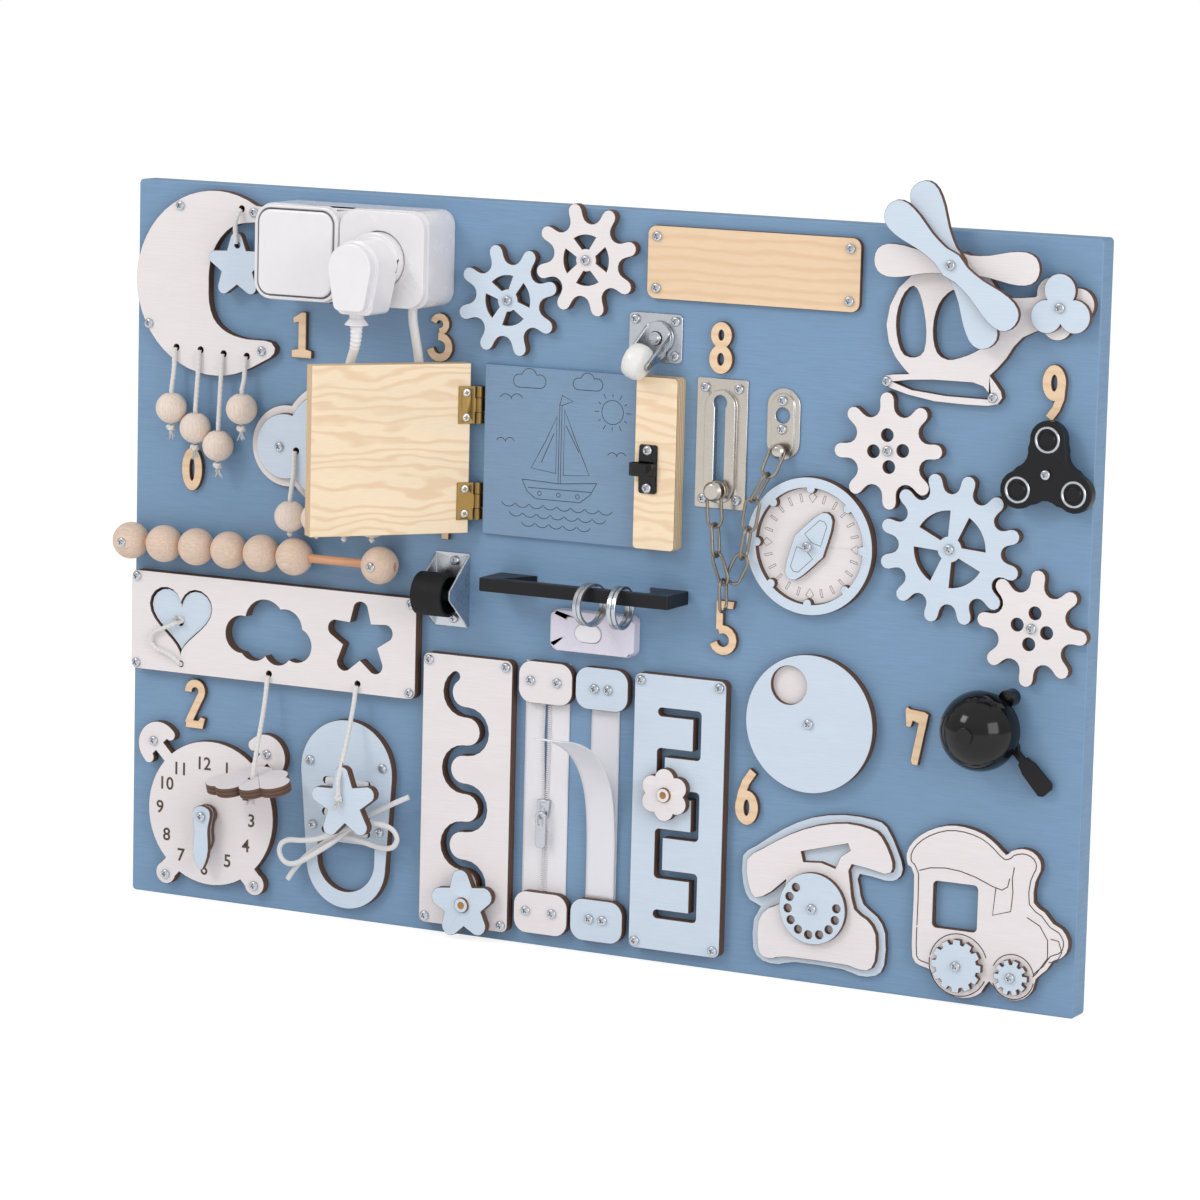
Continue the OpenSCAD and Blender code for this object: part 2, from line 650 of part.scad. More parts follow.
train_d = [2.6, 0.5];
train_outline = shifted(smooth([[644, 21.5], [636, 23.5], [630, 29], [629.3, 50], [629.3, 86],
  [624.5, 92], [623.3, 100], [628, 109], [638, 117], [652, 122.5], [666, 123], [680, 119.5],
  [690, 113], [696.5, 107.5], [700, 110.5], [708, 113], [716, 111.5], [721.5, 106], [722, 99],
  [718.5, 91], [718, 77], [726, 71.5], [732.5, 64.5], [739, 61.5], [743.8, 54], [743, 46],
  [738.5, 41], [733.5, 39], [729, 32], [721.5, 25], [719.5, 17], [713, 10], [704, 8], [695, 11],
  [687.5, 19], [682, 10.5], [674, 6], [664, 5], [654, 8], [647, 14]], 2), train_d);
module train() {
  difference() {
    sheet(0, figure_t) polygon(train_outline);
    sheet(-1, 20) {
      rounded(646.8, 52, 32.6, 32, 3);
      holes(wheel_c, bore());
    }
  }
}
module picture_plates() {
  color(white) front() {
    clock();
    helicopter();
    train();
  }
}

wheel_r = [18.5, 12.5];
wheel_teeth = [12, 10];
function cog(n, r, deep, w) = [for (k = [0 : n - 1]) let (a = 360 * k / n)
  each [(r - deep) * turned(a - w - 3), r * turned(a - w), r * turned(a + w),
        (r - deep) * turned(a + w + 3)]];
module train_wheel(i) {
  color(pale_blue) front() difference() {
    sheet(figure_t + gap, thin_t) translate(wheel_c[i])
      polygon(cog(wheel_teeth[i], wheel_r[i], 3.2, 95 / wheel_teeth[i]));
    disc(wheel_c[i], bore(), -1, 40);
  }
}
module wheel_large() { train_wheel(0); }
module wheel_small() { train_wheel(1); }

// ---- rotors ----
blade = smooth([[0, 9], [10, 6.8], [24, 7.6], [38, 10.6], [50, 11.2], [57.5, 7.5], [60, 0],
  [57.5, -7.5], [50, -11.2], [38, -10.6], [24, -7.6], [10, -6.8], [0, -9], [-10, -6.8], [-24, -7.6],
  [-38, -10.6], [-50, -11.2], [-57.5, -7.5], [-60, 0], [-57.5, 7.5], [-50, 11.2], [-38, 10.6],
  [-24, 7.6], [-10, 6.8]], 2);
module rotor(k, phase, foot) {
  front() difference() {
    union() {
      sheet(rotor_z[k], rotor_t) translate(hub_c) rotate(phase) polygon(blade);
      disc(hub_c, 7, foot, rotor_z[k] + 1 - foot);
    }
    disc(hub_c, bore(), -1, 40);
  }
}
module rotor_back() { color(white) rotor(0, 0, figure_t + gap); }
module rotor_middle() { color(pale_blue) rotor(1, 117, rotor_z[0] + rotor_t + gap); }
module rotor_front() { color(pale_blue) rotor(2, 142, rotor_z[1] + rotor_t + gap); }
module trefoil(phase) {
  translate(tail_c) {
    for (k = [0 : 2]) translate(11.5 * turned(phase + 120 * k)) circle(11.2);
    circle(10.5);
  }
}
module tail_rotor() {
  color(pale_blue) front() difference() {
    sheet(figure_t + gap, thin_t) trefoil(93);
    disc(tail_c, bore(), -1, 40);
  }
}

// ---- metal brackets: caster plate, roller bracket, chain plates, board leaves ----
ear_gap = 27.6;
axle_r = 2;
knuckle_r = 2.4;
pin_hinge_r = 1;
leaf_w = 15;
leaf_t = 1.2;
module hinge_knuckle(y, l) {
  translate([hinge_x, y + l, hinge_z]) rotate([90, 0, 0]) cylinder(h = l, r = knuckle_r, $fn = 24);
}
module board_leaf(y) {
  sheet(0, leaf_t) translate([hinge_x - knuckle_r, y]) square([leaf_w + knuckle_r, hinge_l]);
  for (k = [0, 1]) {
    hinge_knuckle(y + k * (hinge_l - 8), 8);
    sheet(0, hinge_z) translate([hinge_x - knuckle_r, y + k * (hinge_l - 8)])
      square([2 * knuckle_r, 8]);
  }
  translate([hinge_x, y + hinge_l - 1, hinge_z]) rotate([90, 0, 0])
    cylinder(h = hinge_l - 2, r = pin_hinge_r, $fn = 24);
}
module stadium(c, w, h) {
  translate([c[0] - w / 2, c[1] - h / 2 + w / 2]) square([w, h - w]);
  for (s = [-1, 1]) translate([c[0], c[1] + s * (h - w) / 2]) circle(w / 2);
}
slot_bottom = slider_y - 4;
module chain_track() {
  difference() {
    union() {
      sheet(0, bracket_t) rounded(455.7, 323.5, 38.6, 89.8, 1.5);
      sheet(bracket_t, 3.5) stadium([track_c[0], 366.5], 23, 78);
    }
    sheet(-1, 20) {
      translate([track_c[0] - 4, slot_bottom + 4]) square([8, slot_top - slot_bottom - 4]);
      translate([track_c[0], slot_bottom + 4]) circle(4);
      translate([track_c[0], slot_top]) circle(5.2);
      holes(track_screws, bore());
    }
  }
}
module chain_anchor() {
  difference() {
    union() {
      sheet(0, bracket_t) stadium(anchor_c, 24.7, 49);
      sheet(bracket_t, 1.5) stadium(anchor_c, 17, 42);
    }
    sheet(-1, 20) {
      translate([anchor_c[0], anchor_c[1] + 6]) circle(5.5);
      holes(anchor_screws, bore());
    }
  }
  // The rivet stands in the chain's last link
  translate([chain_end[0] + 0.2, chain_end[1] - 2.4]) {
    disc([0, 0], 1.7, 2.5, 7.4);
    translate([0, 0, 9.4]) cylinder(h = 2.2, r1 = 4.9, r2 = 3);
  }
}
module roller_bracket() {
  x = roller_c[0] - ear_gap / 2;
  difference() {
    sheet(0, bracket_t) translate([x, 222]) square([ear_gap, 53]);
    sheet(-1, 20) holes(roller_screws, bore());
  }
  for (i = [0, 1]) translate([x + i * (ear_gap - bracket_t), roller_c[1], 0]) rotate([90, 0, 90])
    linear_extrude(bracket_t) polygon([[-25.5, 0], [25.5, 0], [25.5, 1.5], [3, 29.5], [-3, 29.5],
      [-25.5, 1.5]]);
  translate([x, roller_c[1], 25]) rotate([0, 90, 0]) cylinder(h = ear_gap, r = axle_r);
}
module caster_plate() {
  difference() {
    union() {
      sheet(0, bracket_t) rounded(402, 421, 41, 34, 3.5);
      disc(caster_c, 11, bracket_t, 1.5);
    }
    sheet(-1, 20) holes(caster_screws, bore());
  }
  disc(caster_c, 3, 1, 8);
  disc(caster_c, 4.6, 6.4 + gap, 1.6);
}
module metal_brackets() {
  color(zinc) front() {
    caster_plate();
    roller_bracket();
    chain_track();
    chain_anchor();
    for (y = hinge_y) board_leaf(y);
  }
}

// ---- caster ----
fork_yaw = -19;
trail = 16;
axle_z = 23;
wheel_w = 15;
module caster_frame() {
  front() translate([caster_c[0], caster_c[1], 0]) rotate(fork_yaw) children();
}
fork_z = 3 + gap;
module caster_fork() {
  color(zinc) caster_frame() {
    difference() {
      union() {
        disc([0, 0], 11.5, fork_z, 6.4 - fork_z);
        for (s = [-1, 1]) translate([s * (wheel_w / 2 + 1.3) - 0.8, 0, fork_z])
          rotate([90, 0, 90]) linear_extrude(1.6)
            polygon([[7, 0], [-10, 0], [-trail - 4, axle_z - fork_z], [-trail, axle_z - fork_z + 4],
              [-trail + 4, axle_z - fork_z], [7, 2.5]]);
      }
      disc([0, 0], 3 + run, 0, 5);
      disc([0, 0], 4.6 + gap, 5, 10);
    }
    translate([-wheel_w / 2 - 1.3, -trail, axle_z]) rotate([0, 90, 0])
      cylinder(h = wheel_w + 2.6, r = axle_r);
  }
}
module caster_wheel() {
  color(white) caster_frame() translate([0, -trail, axle_z]) rotate([0, 90, 0])
    rotate_extrude() polygon([[axle_r + run, -wheel_w / 2], [caster_r - 4, -wheel_w / 2],
      [caster_r - 1.2, -wheel_w / 2 + 1.6], [caster_r, -wheel_w / 2 + 5],
      [caster_r, wheel_w / 2 - 5], [caster_r - 1.2, wheel_w / 2 - 1.6],
      [caster_r - 4, wheel_w / 2], [axle_r + run, wheel_w / 2]]);
}

// ---- spinner ----
lobe_r = 12.8;
lobe_d = 23.2;
waist = [for (k = [0 : 2]) let (a = 90 + 120 * k)
  each concat(arc(lobe_d * turned(a), lobe_r, a - 100, a + 100, 10),
    arc(29 * turned(a + 60), 11.5, a + 60 + 222, a + 60 + 138, 5))];
module spinner() {
  color(black) front() difference() {
    union() {
      sheet(spinner_z, spinner_t) translate(spinner_c) polygon(waist);
      disc(spinner_c, 7, gap, spinner_z);
      for (k = [0 : 2])
        disc(spinner_c + lobe_d * turned(90 + 120 * k), 5, spinner_z + spinner_t, 1.4);
    }
    disc(spinner_c, bore(), -1, 40);
  }
}

// ---- door, its panel and hinges ----
module door_panel() {
  color(board_blue) front() difference() {
    sheet(0, thin_t) translate([panel_x, door_y]) square([strip_x - panel_x - 0.5, door_w]);
    for (y = hinge_y) translate([panel_x - 1, y - 0.5, -1])
      cube([leaf_w + hinge_x - panel_x + 1.5, hinge_l + 1, leaf_t + 1.3]);
  }
}
module opened() {
  front() translate(door_rest) rotate([0, -door_open, 0]) children();
}
door_gap = 3;
// The slab starts further from the pin than the hinge leaf, so that its corner clears the board
slab_gap = 6;
module door() {
  color(birch) opened() translate([0, door_y, leaf_t]) {
    rotate([90, 0, 0]) mirror([0, 0, 1]) linear_extrude(door_w)
      translate([slab_gap, 0]) square([door_w + door_gap - slab_gap, door_t]);
  }
}
module door_hinges() {
  color([0.55, 0.45, 0.25]) opened() for (y = hinge_y) {
    difference() {
      union() {
        translate([door_gap, y, 0]) cube([leaf_w - door_gap, hinge_l, leaf_t]);
        translate([0, y + 8 + gap, 0]) cube([leaf_w, hinge_l - 16 - 2 * gap, leaf_t]);
        translate([0, y + hinge_l - 8 - gap, 0]) rotate([90, 0, 0])
          cylinder(h = hinge_l - 16 - 2 * gap, r = knuckle_r, $fn = 24);
      }
      translate([0, y + hinge_l, 0]) rotate([90, 0, 0])
        cylinder(h = hinge_l, r = pin_hinge_r + run, $fn = 24);
    }
    for (s = [4.5, hinge_l - 4.5]) translate([9.5, y + s, -0.7]) cylinder(h = 0.8, r = 3);
  }
}

// ---- chain ----
slider_z = 5 + gap;
eye_y = slider_y - 2.1;
eye_z = slider_z + 5.1;
module chain_slider() {
  color(zinc) front() {
    disc([track_c[0], slider_y], 3.5, 0.8, slider_z);
    disc([track_c[0], slider_y], 7, slider_z, 2.4);
    disc([track_c[0], slider_y + 2.6], 2.6, slider_z + 2, 6.4);
    difference() {
      translate([track_c[0] - 1, slider_y - 5, slider_z + 2]) cube([2, 8, 6]);
      translate([track_c[0] - 3, eye_y, eye_z]) rotate([0, 90, 0]) cylinder(h = 6, r = 1.6);
    }
    translate([track_c[0], slider_y, slider_z + 7.7]) cylinder(h = 2.6, r1 = 7, r2 = 5);
  }
}
function link_path(c, d, e) =
  let (half = (link_l - link_w) / 2, r = link_w / 2 - wire_r)
  concat([for (i = [0 : 6]) let (a = -90 + 30 * i) c + (half + r * cos(a)) * d + r * sin(a) * e],
         [for (i = [0 : 6]) let (a = 90 + 30 * i) c + (-half + r * cos(a)) * d + r * sin(a) * e]);
module closed_tube(p, n, r, sides) {
  m = len(p);
  polyhedron(
    points = [for (i = [0 : m - 1]) let (t = unit(p[(i + 1) % m] - p[(i + m - 1) % m]),
        v = cross(t, n)) for (k = [0 : sides - 1])
          p[i] + r * (cos(360 * k / sides) * n + sin(360 * k / sides) * v)],
    faces = [for (i = [0 : m - 1], k = [0 : sides - 1]) let (a = i * sides + k,
        b = i * sides + (k + 1) % sides, c = ((i + 1) % m) * sides + k,
        d = ((i + 1) % m) * sides + (k + 1) % sides) each [[a, c, d], [a, d, b]]]);
}
// A link from pin p along direction d, its plane turned by twist
function lay(a, rise) = unit([cos(a), sin(a), rise]);
pitch = link_l - 4 * wire_r - 0.3;
module chain_link(p, d, twist) {
  e0 = unit(cross(d, [0, 0, 1]));
  n0 = cross(e0, d);
  n = cos(twist) * n0 + sin(twist) * e0;
  closed_tube(link_path(p + pitch / 2 * d, d, cross(n, d)), n, wire_r, 8);
}
// Direction of each link seen from the front, and how much it rises from the board: three
// down from the slider, one that hangs at the lowest point, then five up to the anchor.
// Each link lies a quarter turn from the one before it, but the third, which carries two
// links, leans a quarter of that
down_dirs = [-84, -83, -67];
down_rise = 0.08;
down_twist = [0, 90, 24];
low_dir = -90;
low_rise = -0.1;
low_place = [-1.5, 0.6, 0];
up_dirs = [62, 80, 82, 64, 74];
up_rise = [0.1, 0.05, -0.05, -0.15, -0.3];
up_place = [4.3, 1.2, -1.8];
down_links = [for (i = [0 : len(down_dirs) - 1]) [down_dirs[i], down_rise, down_twist[i]]];
up_links = [for (i = [0 : len(up_dirs) - 1]) [up_dirs[i], up_rise[i], 90 * (i % 2)]];
function run_of(p, list, i = 0) = i == len(list) ? [p]
  : concat([p], run_of(p + pitch * lay(list[i][0], list[i][1]), list, i + 1));
down_pins = run_of([track_c[0], eye_y - 1.2, eye_z], down_links);
low_pin = down_pins[len(down_links)];
up_pins = run_of(low_pin + up_place, up_links);
chain_end = up_pins[len(up_links)];
module chain() {
  color(zinc) front() {
    for (i = [0 : len(down_links) - 1])
      chain_link(down_pins[i], lay(down_links[i][0], down_links[i][1]), down_links[i][2]);
    chain_link(low_pin + low_place, lay(low_dir, low_rise), 90);
    for (i = [0 : len(up_links) - 1])
      chain_link(up_pins[i], lay(up_links[i][0], up_links[i][1]), up_links[i][2]);
  }
}

// ---- compass and viewer ----
module dial_bases() {
  color(white) front() {
    difference() {
      disc(compass_c, dial_r, 0, thin_t);
      disc(compass_c, bore(), -1, 20);
    }
    difference() {
      disc(viewer_c, dial_r, 0, thin_t);
      disc(viewer_c, bore(), -1, 20);
    }
  }
  color(pale_blue) front() sheet(thin_t, thin_t) translate(compass_c) {
    difference() {
      circle(dial_r);
      circle(40);
    }
    for (k = [0 : 7]) intersection() {
      translate(39.4 * turned(45 * k)) circle(3.2);
      circle(41);
    }
  }
}
needle = [[-5, 25], [5, 25], [12, 3], [12, -3], [5, -25], [-5, -25], [-12, -3], [-12, 3]];
module compass_needle() {
  color(pale_blue) front() difference() {
    sheet(thin_t + gap, thin_t) translate(compass_c) rotate(-32) polygon(smooth(needle, 3));
    disc(compass_c, bore(), -1, 30);
  }
}
module viewer_disc() {
  color(pale_blue) front() difference() {
    disc(viewer_c, dial_r + 0.5, thin_t + gap, thin_t);
    disc(viewer_c, bore(), -1, 30);
    disc(viewer_c + [-16, 25.5], 13.4, -1, 30);
  }
}

// ---- abacus ----
bead_axis = bead_r + gap;
module wood_bead(x, bore_r) {
  difference() {
    intersection() {
      translate([x, rod_y, bead_axis]) sphere(bead_r);
      translate([x - bead_r + 0.4, rod_y - 20, -10]) cube([2 * bead_r - 0.8, 40, 60]);
    }
    translate([x - 20, rod_y, bead_axis]) rotate([0, 90, 0]) cylinder(h = 40, r = bore_r);
  }
}
module abacus_rod() {
  color(bead_wood) front() difference() {
    union() {
      for (x = end_bead_x) wood_bead(x, rod_r - 0.5);
      translate([end_bead_x[0] - 12, rod_y, bead_axis]) rotate([0, 90, 0])
        cylinder(h = end_bead_x[1] - end_bead_x[0] + 24, r = rod_r);
    }
    for (x = end_bead_x) {
      disc([x, rod_y], bore(), -1, 60);
      disc([x, rod_y], head_r + 0.2, 2 * bead_r - 1, 20);
    }
  }
}
module abacus_beads() { color(bead_wood) front() for (x = bead_x) wood_bead(x, rod_r + 0.3); }

// ---- shape sorter ----
sorter_lobes = [[-22, -3.8, 13.5], [-2.5, 6.6, 16.5], [14.5, 3.5, 14], [24, -7.5, 12.5],
  [8.5, -12, 11.5], [-11.5, -9, 13]];
piece_gap = 1;
cord_holes = [[120.7, 174.5], [194.7, 174.5], [45.7, 174.5]];
module cloud_shape(d) { for (c = sorter_lobes) translate([c[0], c[1]]) circle(c[2] + d); }
module sorter_plate() {
  color(white) front() difference() {
    sheet(0, sorter_t) rounded(sorter_x, sorter_y, 239, 73, plate_r);
    sheet(-1, 20) {
      holes(sorter_screws, bore());
      holes(cord_holes, cord_r + 0.4);
      polygon(heart(heart_c, 53, 48));
      translate(sorter_cloud_c) cloud_shape(0);
      polygon(star(sorter_star_c, 27.5, 14.5, 90, 6));
    }
  }
}
heart_hole = [44.2, 204.5];
// From the heart's face down to its hole in the plate
heart_cord = [[44.2, 206, 9.2], [39, 203, 11.6], [31, 199.5, 12.2], [23.5, 195.5, 12.2],
  [21.5, 189.5, 12], [26, 184.5, 12], [33.5, 182.2, 12], [39.5, 180, 12.2], [44, 177, 12],
  [45.7, 174.5, 9.9], [45.7, 174.5, 1]];
module heart_piece() {
  color(pale_blue) front() difference() {
    sheet(gap, plate_t) polygon(heart(heart_c, 53 - 2 * piece_gap, 48 - 2.4 * piece_gap));
    disc(heart_hole, cord_r + 0.4, -1, 20);
  }
  color(white) front() tube(heart_cord, cord_r - 0.1, 8, [0, 1, 0]);
}
cloud_hang = [121, 98, 31];
module cloud_piece() {
  color(white) front() {
    translate(cloud_hang) rotate([0, 0, 5]) rotate([-76, 0, 0]) difference() {
      sheet(-plate_t / 2, plate_t) cloud_shape(-piece_gap);
      cylinder(h = 20, r = cord_r + 0.4, center = true);
    }
    tube([[120.7, 173.5, sorter_t + gap + cord_r], [120.7, 160, 13], [120.8, 145, 17],
      [120.9, 128, 22.5], [121, 112, 27.5], [121, 98, 31], [121, 92.5, 31.5]], cord_r, 8, [1, 0, 0]);
    translate([121, 91, 31.6]) sphere(3.4, $fn = 16);
  }
}
star_hang = [194.6, 94];
star_piece_z = 24;
module star_piece() {
  color(pale_blue) front() difference() {
    sheet(star_piece_z, plate_t) polygon(star(star_hang + [3, -3], 27, 14.2, 23.6, 6));
    disc(star_hang, cord_r + 0.4, -1, 50);
  }
  color(white) front()
    tube([[194.7, 173.5, sorter_t + gap + cord_r], [194.7, 160, 14], [194.7, 140, 21],
      [194.7, 120, 29], [194.6, 108, star_piece_z + plate_t + 3],
      [194.6, 97, star_piece_z + plate_t + 2.2]], cord_r, 8, [1, 0, 0]);
}

// ---- roller ----
module roller() {
  color(black) front() translate([roller_c[0], roller_c[1], 25]) rotate([0, 90, 0]) difference() {
    rotate_extrude() {
      translate([roller_r - 2.2, -12]) square([2.2, 24]);
      translate([axle_r + run, -3]) square([roller_r - axle_r - 1, 6]);
      translate([axle_r + run, -12]) square([2, 24]);
    }
  }
}

// ---- black fittings: pull handle and spring catch ----
bar_t = 7;
foot_w = 30;
module pull_handle() {
  x1 = handle_x + handle_l;
  translate([0, handle_y + handle_h / 2, 0]) rotate([90, 0, 0]) linear_extrude(handle_h)
    polygon([[handle_x, 0], [handle_x + foot_w, 0], [handle_x + foot_w - 13, handle_d - bar_t],
      [x1 - foot_w + 13, handle_d - bar_t], [x1 - foot_w, 0], [x1, 0], [x1, handle_d - 1.5],
      [x1 - 1.5, handle_d], [handle_x + 1.5, handle_d], [handle_x, handle_d - 1.5]]);
}
module spring_catch() {
  difference() {
    sheet(strip_t, bracket_t) rounded(418, 331, 14, 34, 2);
    sheet(-1, 40) holes(catch_screws, bore());
  }
  hook = concat([[431, strip_t + 0.8], [430.5, strip_t + 5], [426, strip_t + 8]],
    arc([417.5, strip_t + 4.6], 4.2, 70, 250, 8), [[418, strip_t - 1.5 + 2.1]]);
  translate([0, 352.5, 0]) rotate([90, 0, 0]) linear_extrude(9) polygon(ribbon(hook, 1.3));
}
module black_fittings() {
  color(black) front() {
    pull_handle();
    spring_catch();
  }
}
ring_r = 14.2;
ring_drop = 6.9;
ring_z = handle_d - bar_t / 2;
ring_x = [[391, 14], [414.5, 0]];
module key_rings() {
  color(zinc) front() for (p = ring_x, s = [-1, 1])
    translate([p[0], handle_y - ring_drop, ring_z]) rotate([0, 90 - p[1], 0])
      translate([0, 0, s * 1.8 - 1.5]) rotate_extrude() translate([ring_r - 1.1, 0]) square([2.2, 3]);
}

// ---- push light ----
light_w = 66;
light_h = 29;
light_t = 10;
button_c = [380.2, 228.5];
module button_shape(d) {
  translate(button_c) {
    square([20 - 12.4, 12.4 + 2 * d], center = true);
    for (s = [-1, 1]) translate([s * 3.8, 0]) circle(6.2 + d);
  }
}
module push_light() {
  difference() {
    sheet(0, light_t) rounded(light_c[0] - light_w / 2, light_c[1] - light_h / 2,
                              light_w, light_h, 5.5);
    sheet(light_t - 5.5, 10) button_shape(gap);
  }
}
module plastic_cases() {
  color(white) front() {
    switch_box();
    push_light();
  }
}
module push_button() {
  color(white) front() sheet(light_t - 5.5 + button_travel + 0.2, 5) button_shape(0);
}

// ---- slot plates and their knobs ----
swing_r = 13.75;
sway = 1.25;
wave_mid = wave_x + 35.4;
first_bend = 39;
function bend(k) = let (s = k % 2 == 0 ? 1 : -1)
  arc([wave_mid + s * sway, first_bend + 2 * swing_r * k], swing_r,
      s > 0 ? -90 : 270, 90, 10);
knob_at = -75;
wave_line = concat(arc([wave_mid + sway, first_bend], swing_r, knob_at, 90, 9),
  bend(1), bend(2), bend(3), bend(4), arc([wave_mid - sway, first_bend + 10 * swing_r], swing_r,
  270, 125, 8));
maze_left = maze_x + 21.7;
maze_right = maze_x + 49.2;
maze_rows = [36, 64.5, 93.5, 122, 150.5, 179];
module maze_slot() {
  for (y = maze_rows) translate([maze_left, y - maze_w / 2]) square([maze_right - maze_left, maze_w]);
  for (k = [0 : len(maze_rows) - 2]) {
    x = k % 2 == 0 ? maze_right : maze_left;
    translate([x - maze_w / 2, maze_rows[k]]) square([maze_w, maze_rows[k + 1] - maze_rows[k]]);
  }
  for (y = maze_rows, x = [maze_left, maze_right]) translate([x, y]) circle(maze_w / 2);
}
module slot_plates() {
  color(white) front() difference() {
    sheet(0, slot_plate_t) rounded(wave_x, wave_y, 72, 195.5, plate_r);
    sheet(-1, 20) {
      holes(wave_screws, bore());
      polygon(round_ribbon(wave_line, slot_w));
    }
  }
  color(pale_blue) front() difference() {
    sheet(0, slot_plate_t) rounded(maze_x, maze_y, 70.8, 195, plate_r);
    sheet(-1, 20) {
      holes(maze_screws, bore());
      maze_slot();
    }
  }
}
knob_c = [wave_mid + sway, first_bend] + swing_r * turned(knob_at);
cap_z = slot_plate_t + head_t + 2 * gap;
module wave_knob() {
  color(pale_blue) front() {
    disc(knob_c, slot_w / 2 - gap, gap, slot_plate_t + 1);
    disc(knob_c, 9, slot_plate_t + gap, cap_z - slot_plate_t);
    sheet(cap_z, 6) polygon(star(knob_c, 25.5, 15.5, 96, 7));
    disc(knob_c, 5.3, cap_z + 6, 2);
  }
}
maze_knob_c = [maze_left + 6.3, maze_rows[3]];
module maze_knob() {
  color(white) front() {
    disc(maze_knob_c, maze_w / 2 - gap, gap, slot_plate_t + 1);
    sheet(slot_plate_t + gap, 6) translate(maze_knob_c) for (k = [0 : 5]) {
      translate(11 * turned(30 + 60 * k)) circle(7.6);
      circle(12);
    }
    disc(maze_knob_c, 5, slot_plate_t + gap + 6, 2);
  }
}

// ---- zip and strap ----
module end_plates() {
  for (k = [0, 1]) color(k == 0 ? white : pale_blue) front() difference() {
    sheet(clamp_z, clamp_t) for (y = [10, 175])
      rounded((k == 0 ? zip_x + 1.5 : strap_x) - (k == 0 ? 21.3 : 20.6), y,
              k == 0 ? 42.6 : 41.2, 30, 10);
    sheet(-1, 20) holes(clamp_screws, bore());
  }
}
tape_t = 1;
half_zip = 17.5;
strap_w = 22;
strap_line = [[40, 3.4], [60, 3.4], [80, 3.6], [100, 5.4], [118, 10], [134, 19.5], [147, 34],
  [156, 52], [162, 71], [165, 87]];
module woven_tapes() {
  color(white) front() {
    difference() {
      union() {
        sheet(0.1, tape_t) polygon([[zip_x - half_zip, 11], [zip_x - 0.4, 11],
          [zip_x - 0.4, 100], [zip_x - 2.2, 150], [zip_x - 1, 204], [zip_x - half_zip, 204]]);
        sheet(0.1, tape_t) polygon([[zip_x + half_zip, 11], [zip_x + 0.4, 11], [zip_x + 0.4, 100],
          [zip_x + 1.4, 150], [zip_x + 1, 204], [zip_x + half_zip, 204]]);
        sheet(0.1, tape_t) translate([strap_x - strap_w / 2, 11]) square([strap_w, 193]);
      }
      sheet(-1, 20) holes(clamp_screws, bore());
    }
    translate([strap_x + strap_w / 2, 0, 0]) rotate([0, -90, 0]) linear_extrude(strap_w)
      polygon(ribbon([for (p = strap_line) [p[1], p[0]]], 1.4));
  }
}
zip_z = tape_t + 0.1 + gap;
module zip_slider() {
  color(zinc) front() {
    sheet(zip_z, 3.6) polygon([[zip_x - 5, 106], [zip_x + 5, 106], [zip_x + 4, 96], [zip_x + 2.6, 92],
      [zip_x - 2.6, 92], [zip_x - 4, 96]]);
    sheet(zip_z + 3.6, 1.6) translate([zip_x - 1.8, 94]) square([3.6, 9]);
    sheet(zip_z + 5.5, 1.6) difference() {
      rounded(zip_x - 4, 72, 8, 26, 3);
      rounded(zip_x - 2.2, 88, 4.4, 8, 2);
    }
    disc([zip_x, 97], 1.4, zip_z + 5, 0.6);
  }
}

// ---- shoe and its lace ----
shoe_r = 38;
shoe_top_a = asin((shoe_r - shoe_toe_r) / (shoe_top[1] - shoe_toe[1]));
lace_holes = [[169, 101.5], [168.6, 78.5], [168.6, 65.5], [203, 101.5], [203.4, 78.5], [203.4, 65.5]];
module shoe_plate() {
  color(pale_blue) front() difference() {
    sheet(0, plate_t) polygon(concat(arc(shoe_top, shoe_r, -shoe_top_a, 180 + shoe_top_a, 32),
      arc(shoe_toe, shoe_toe_r, 180 + shoe_top_a, 360 - shoe_top_a, 28)));
    sheet(-1, 20) {
      holes(shoe_screws, bore());
      holes(lace_holes, 2.5);
      polygon(concat([[shoe_toe[0] - 23.5, 57], [shoe_toe[0] + 23.5, 57]],
        arc(shoe_toe + [0, 3], 23.5, 0, -180, 24)));
    }
  }
}
lace_route = [[140, 26, 10.4], [145, 33, 11], [152, 41, 12], [161, 49, 13], [171, 56, 14],
  [181, 61.5, 14.6], [191, 63.5, 15], [202, 62, 14.6], [213, 59.5, 14], [223, 58.5, 13.6],
  [230, 61, 14], [233, 67, 15], [230.5, 73, 16.5], [224.5, 76, 18], [215, 77, 20],
  [204, 75.5, 21.6], [193, 71, 22.4], [182, 65.5, 22.2], [170, 60.5, 21], [157, 58, 20],
  [146, 57, 19], [139, 53.5, 18], [136.5, 47.5, 17], [139, 41.5, 16.6], [145, 39, 17],
  [153, 41, 17.6], [162, 46, 18], [172, 52.5, 18.4], [181, 58.5, 18.6], [189, 65, 18.6],
  [197, 72, 18.2], [206, 79, 17], [217, 85.5, 15], [229, 92, 13], [240, 97.5, 11.5]];
module laces() {
  color(white) front() {
    tube(lace_route, 1.7, 8, [0, 0, 1]);
    for (k = [0, 1, 2]) tube([[169, lace_holes[k][1], plate_t + 2.1], [186, lace_holes[k][1] + 1,
      plate_t + 2.4], [203, lace_holes[k][1], plate_t + 2.1]], 1.7, 8, [0, 0, 1]);
  }
}

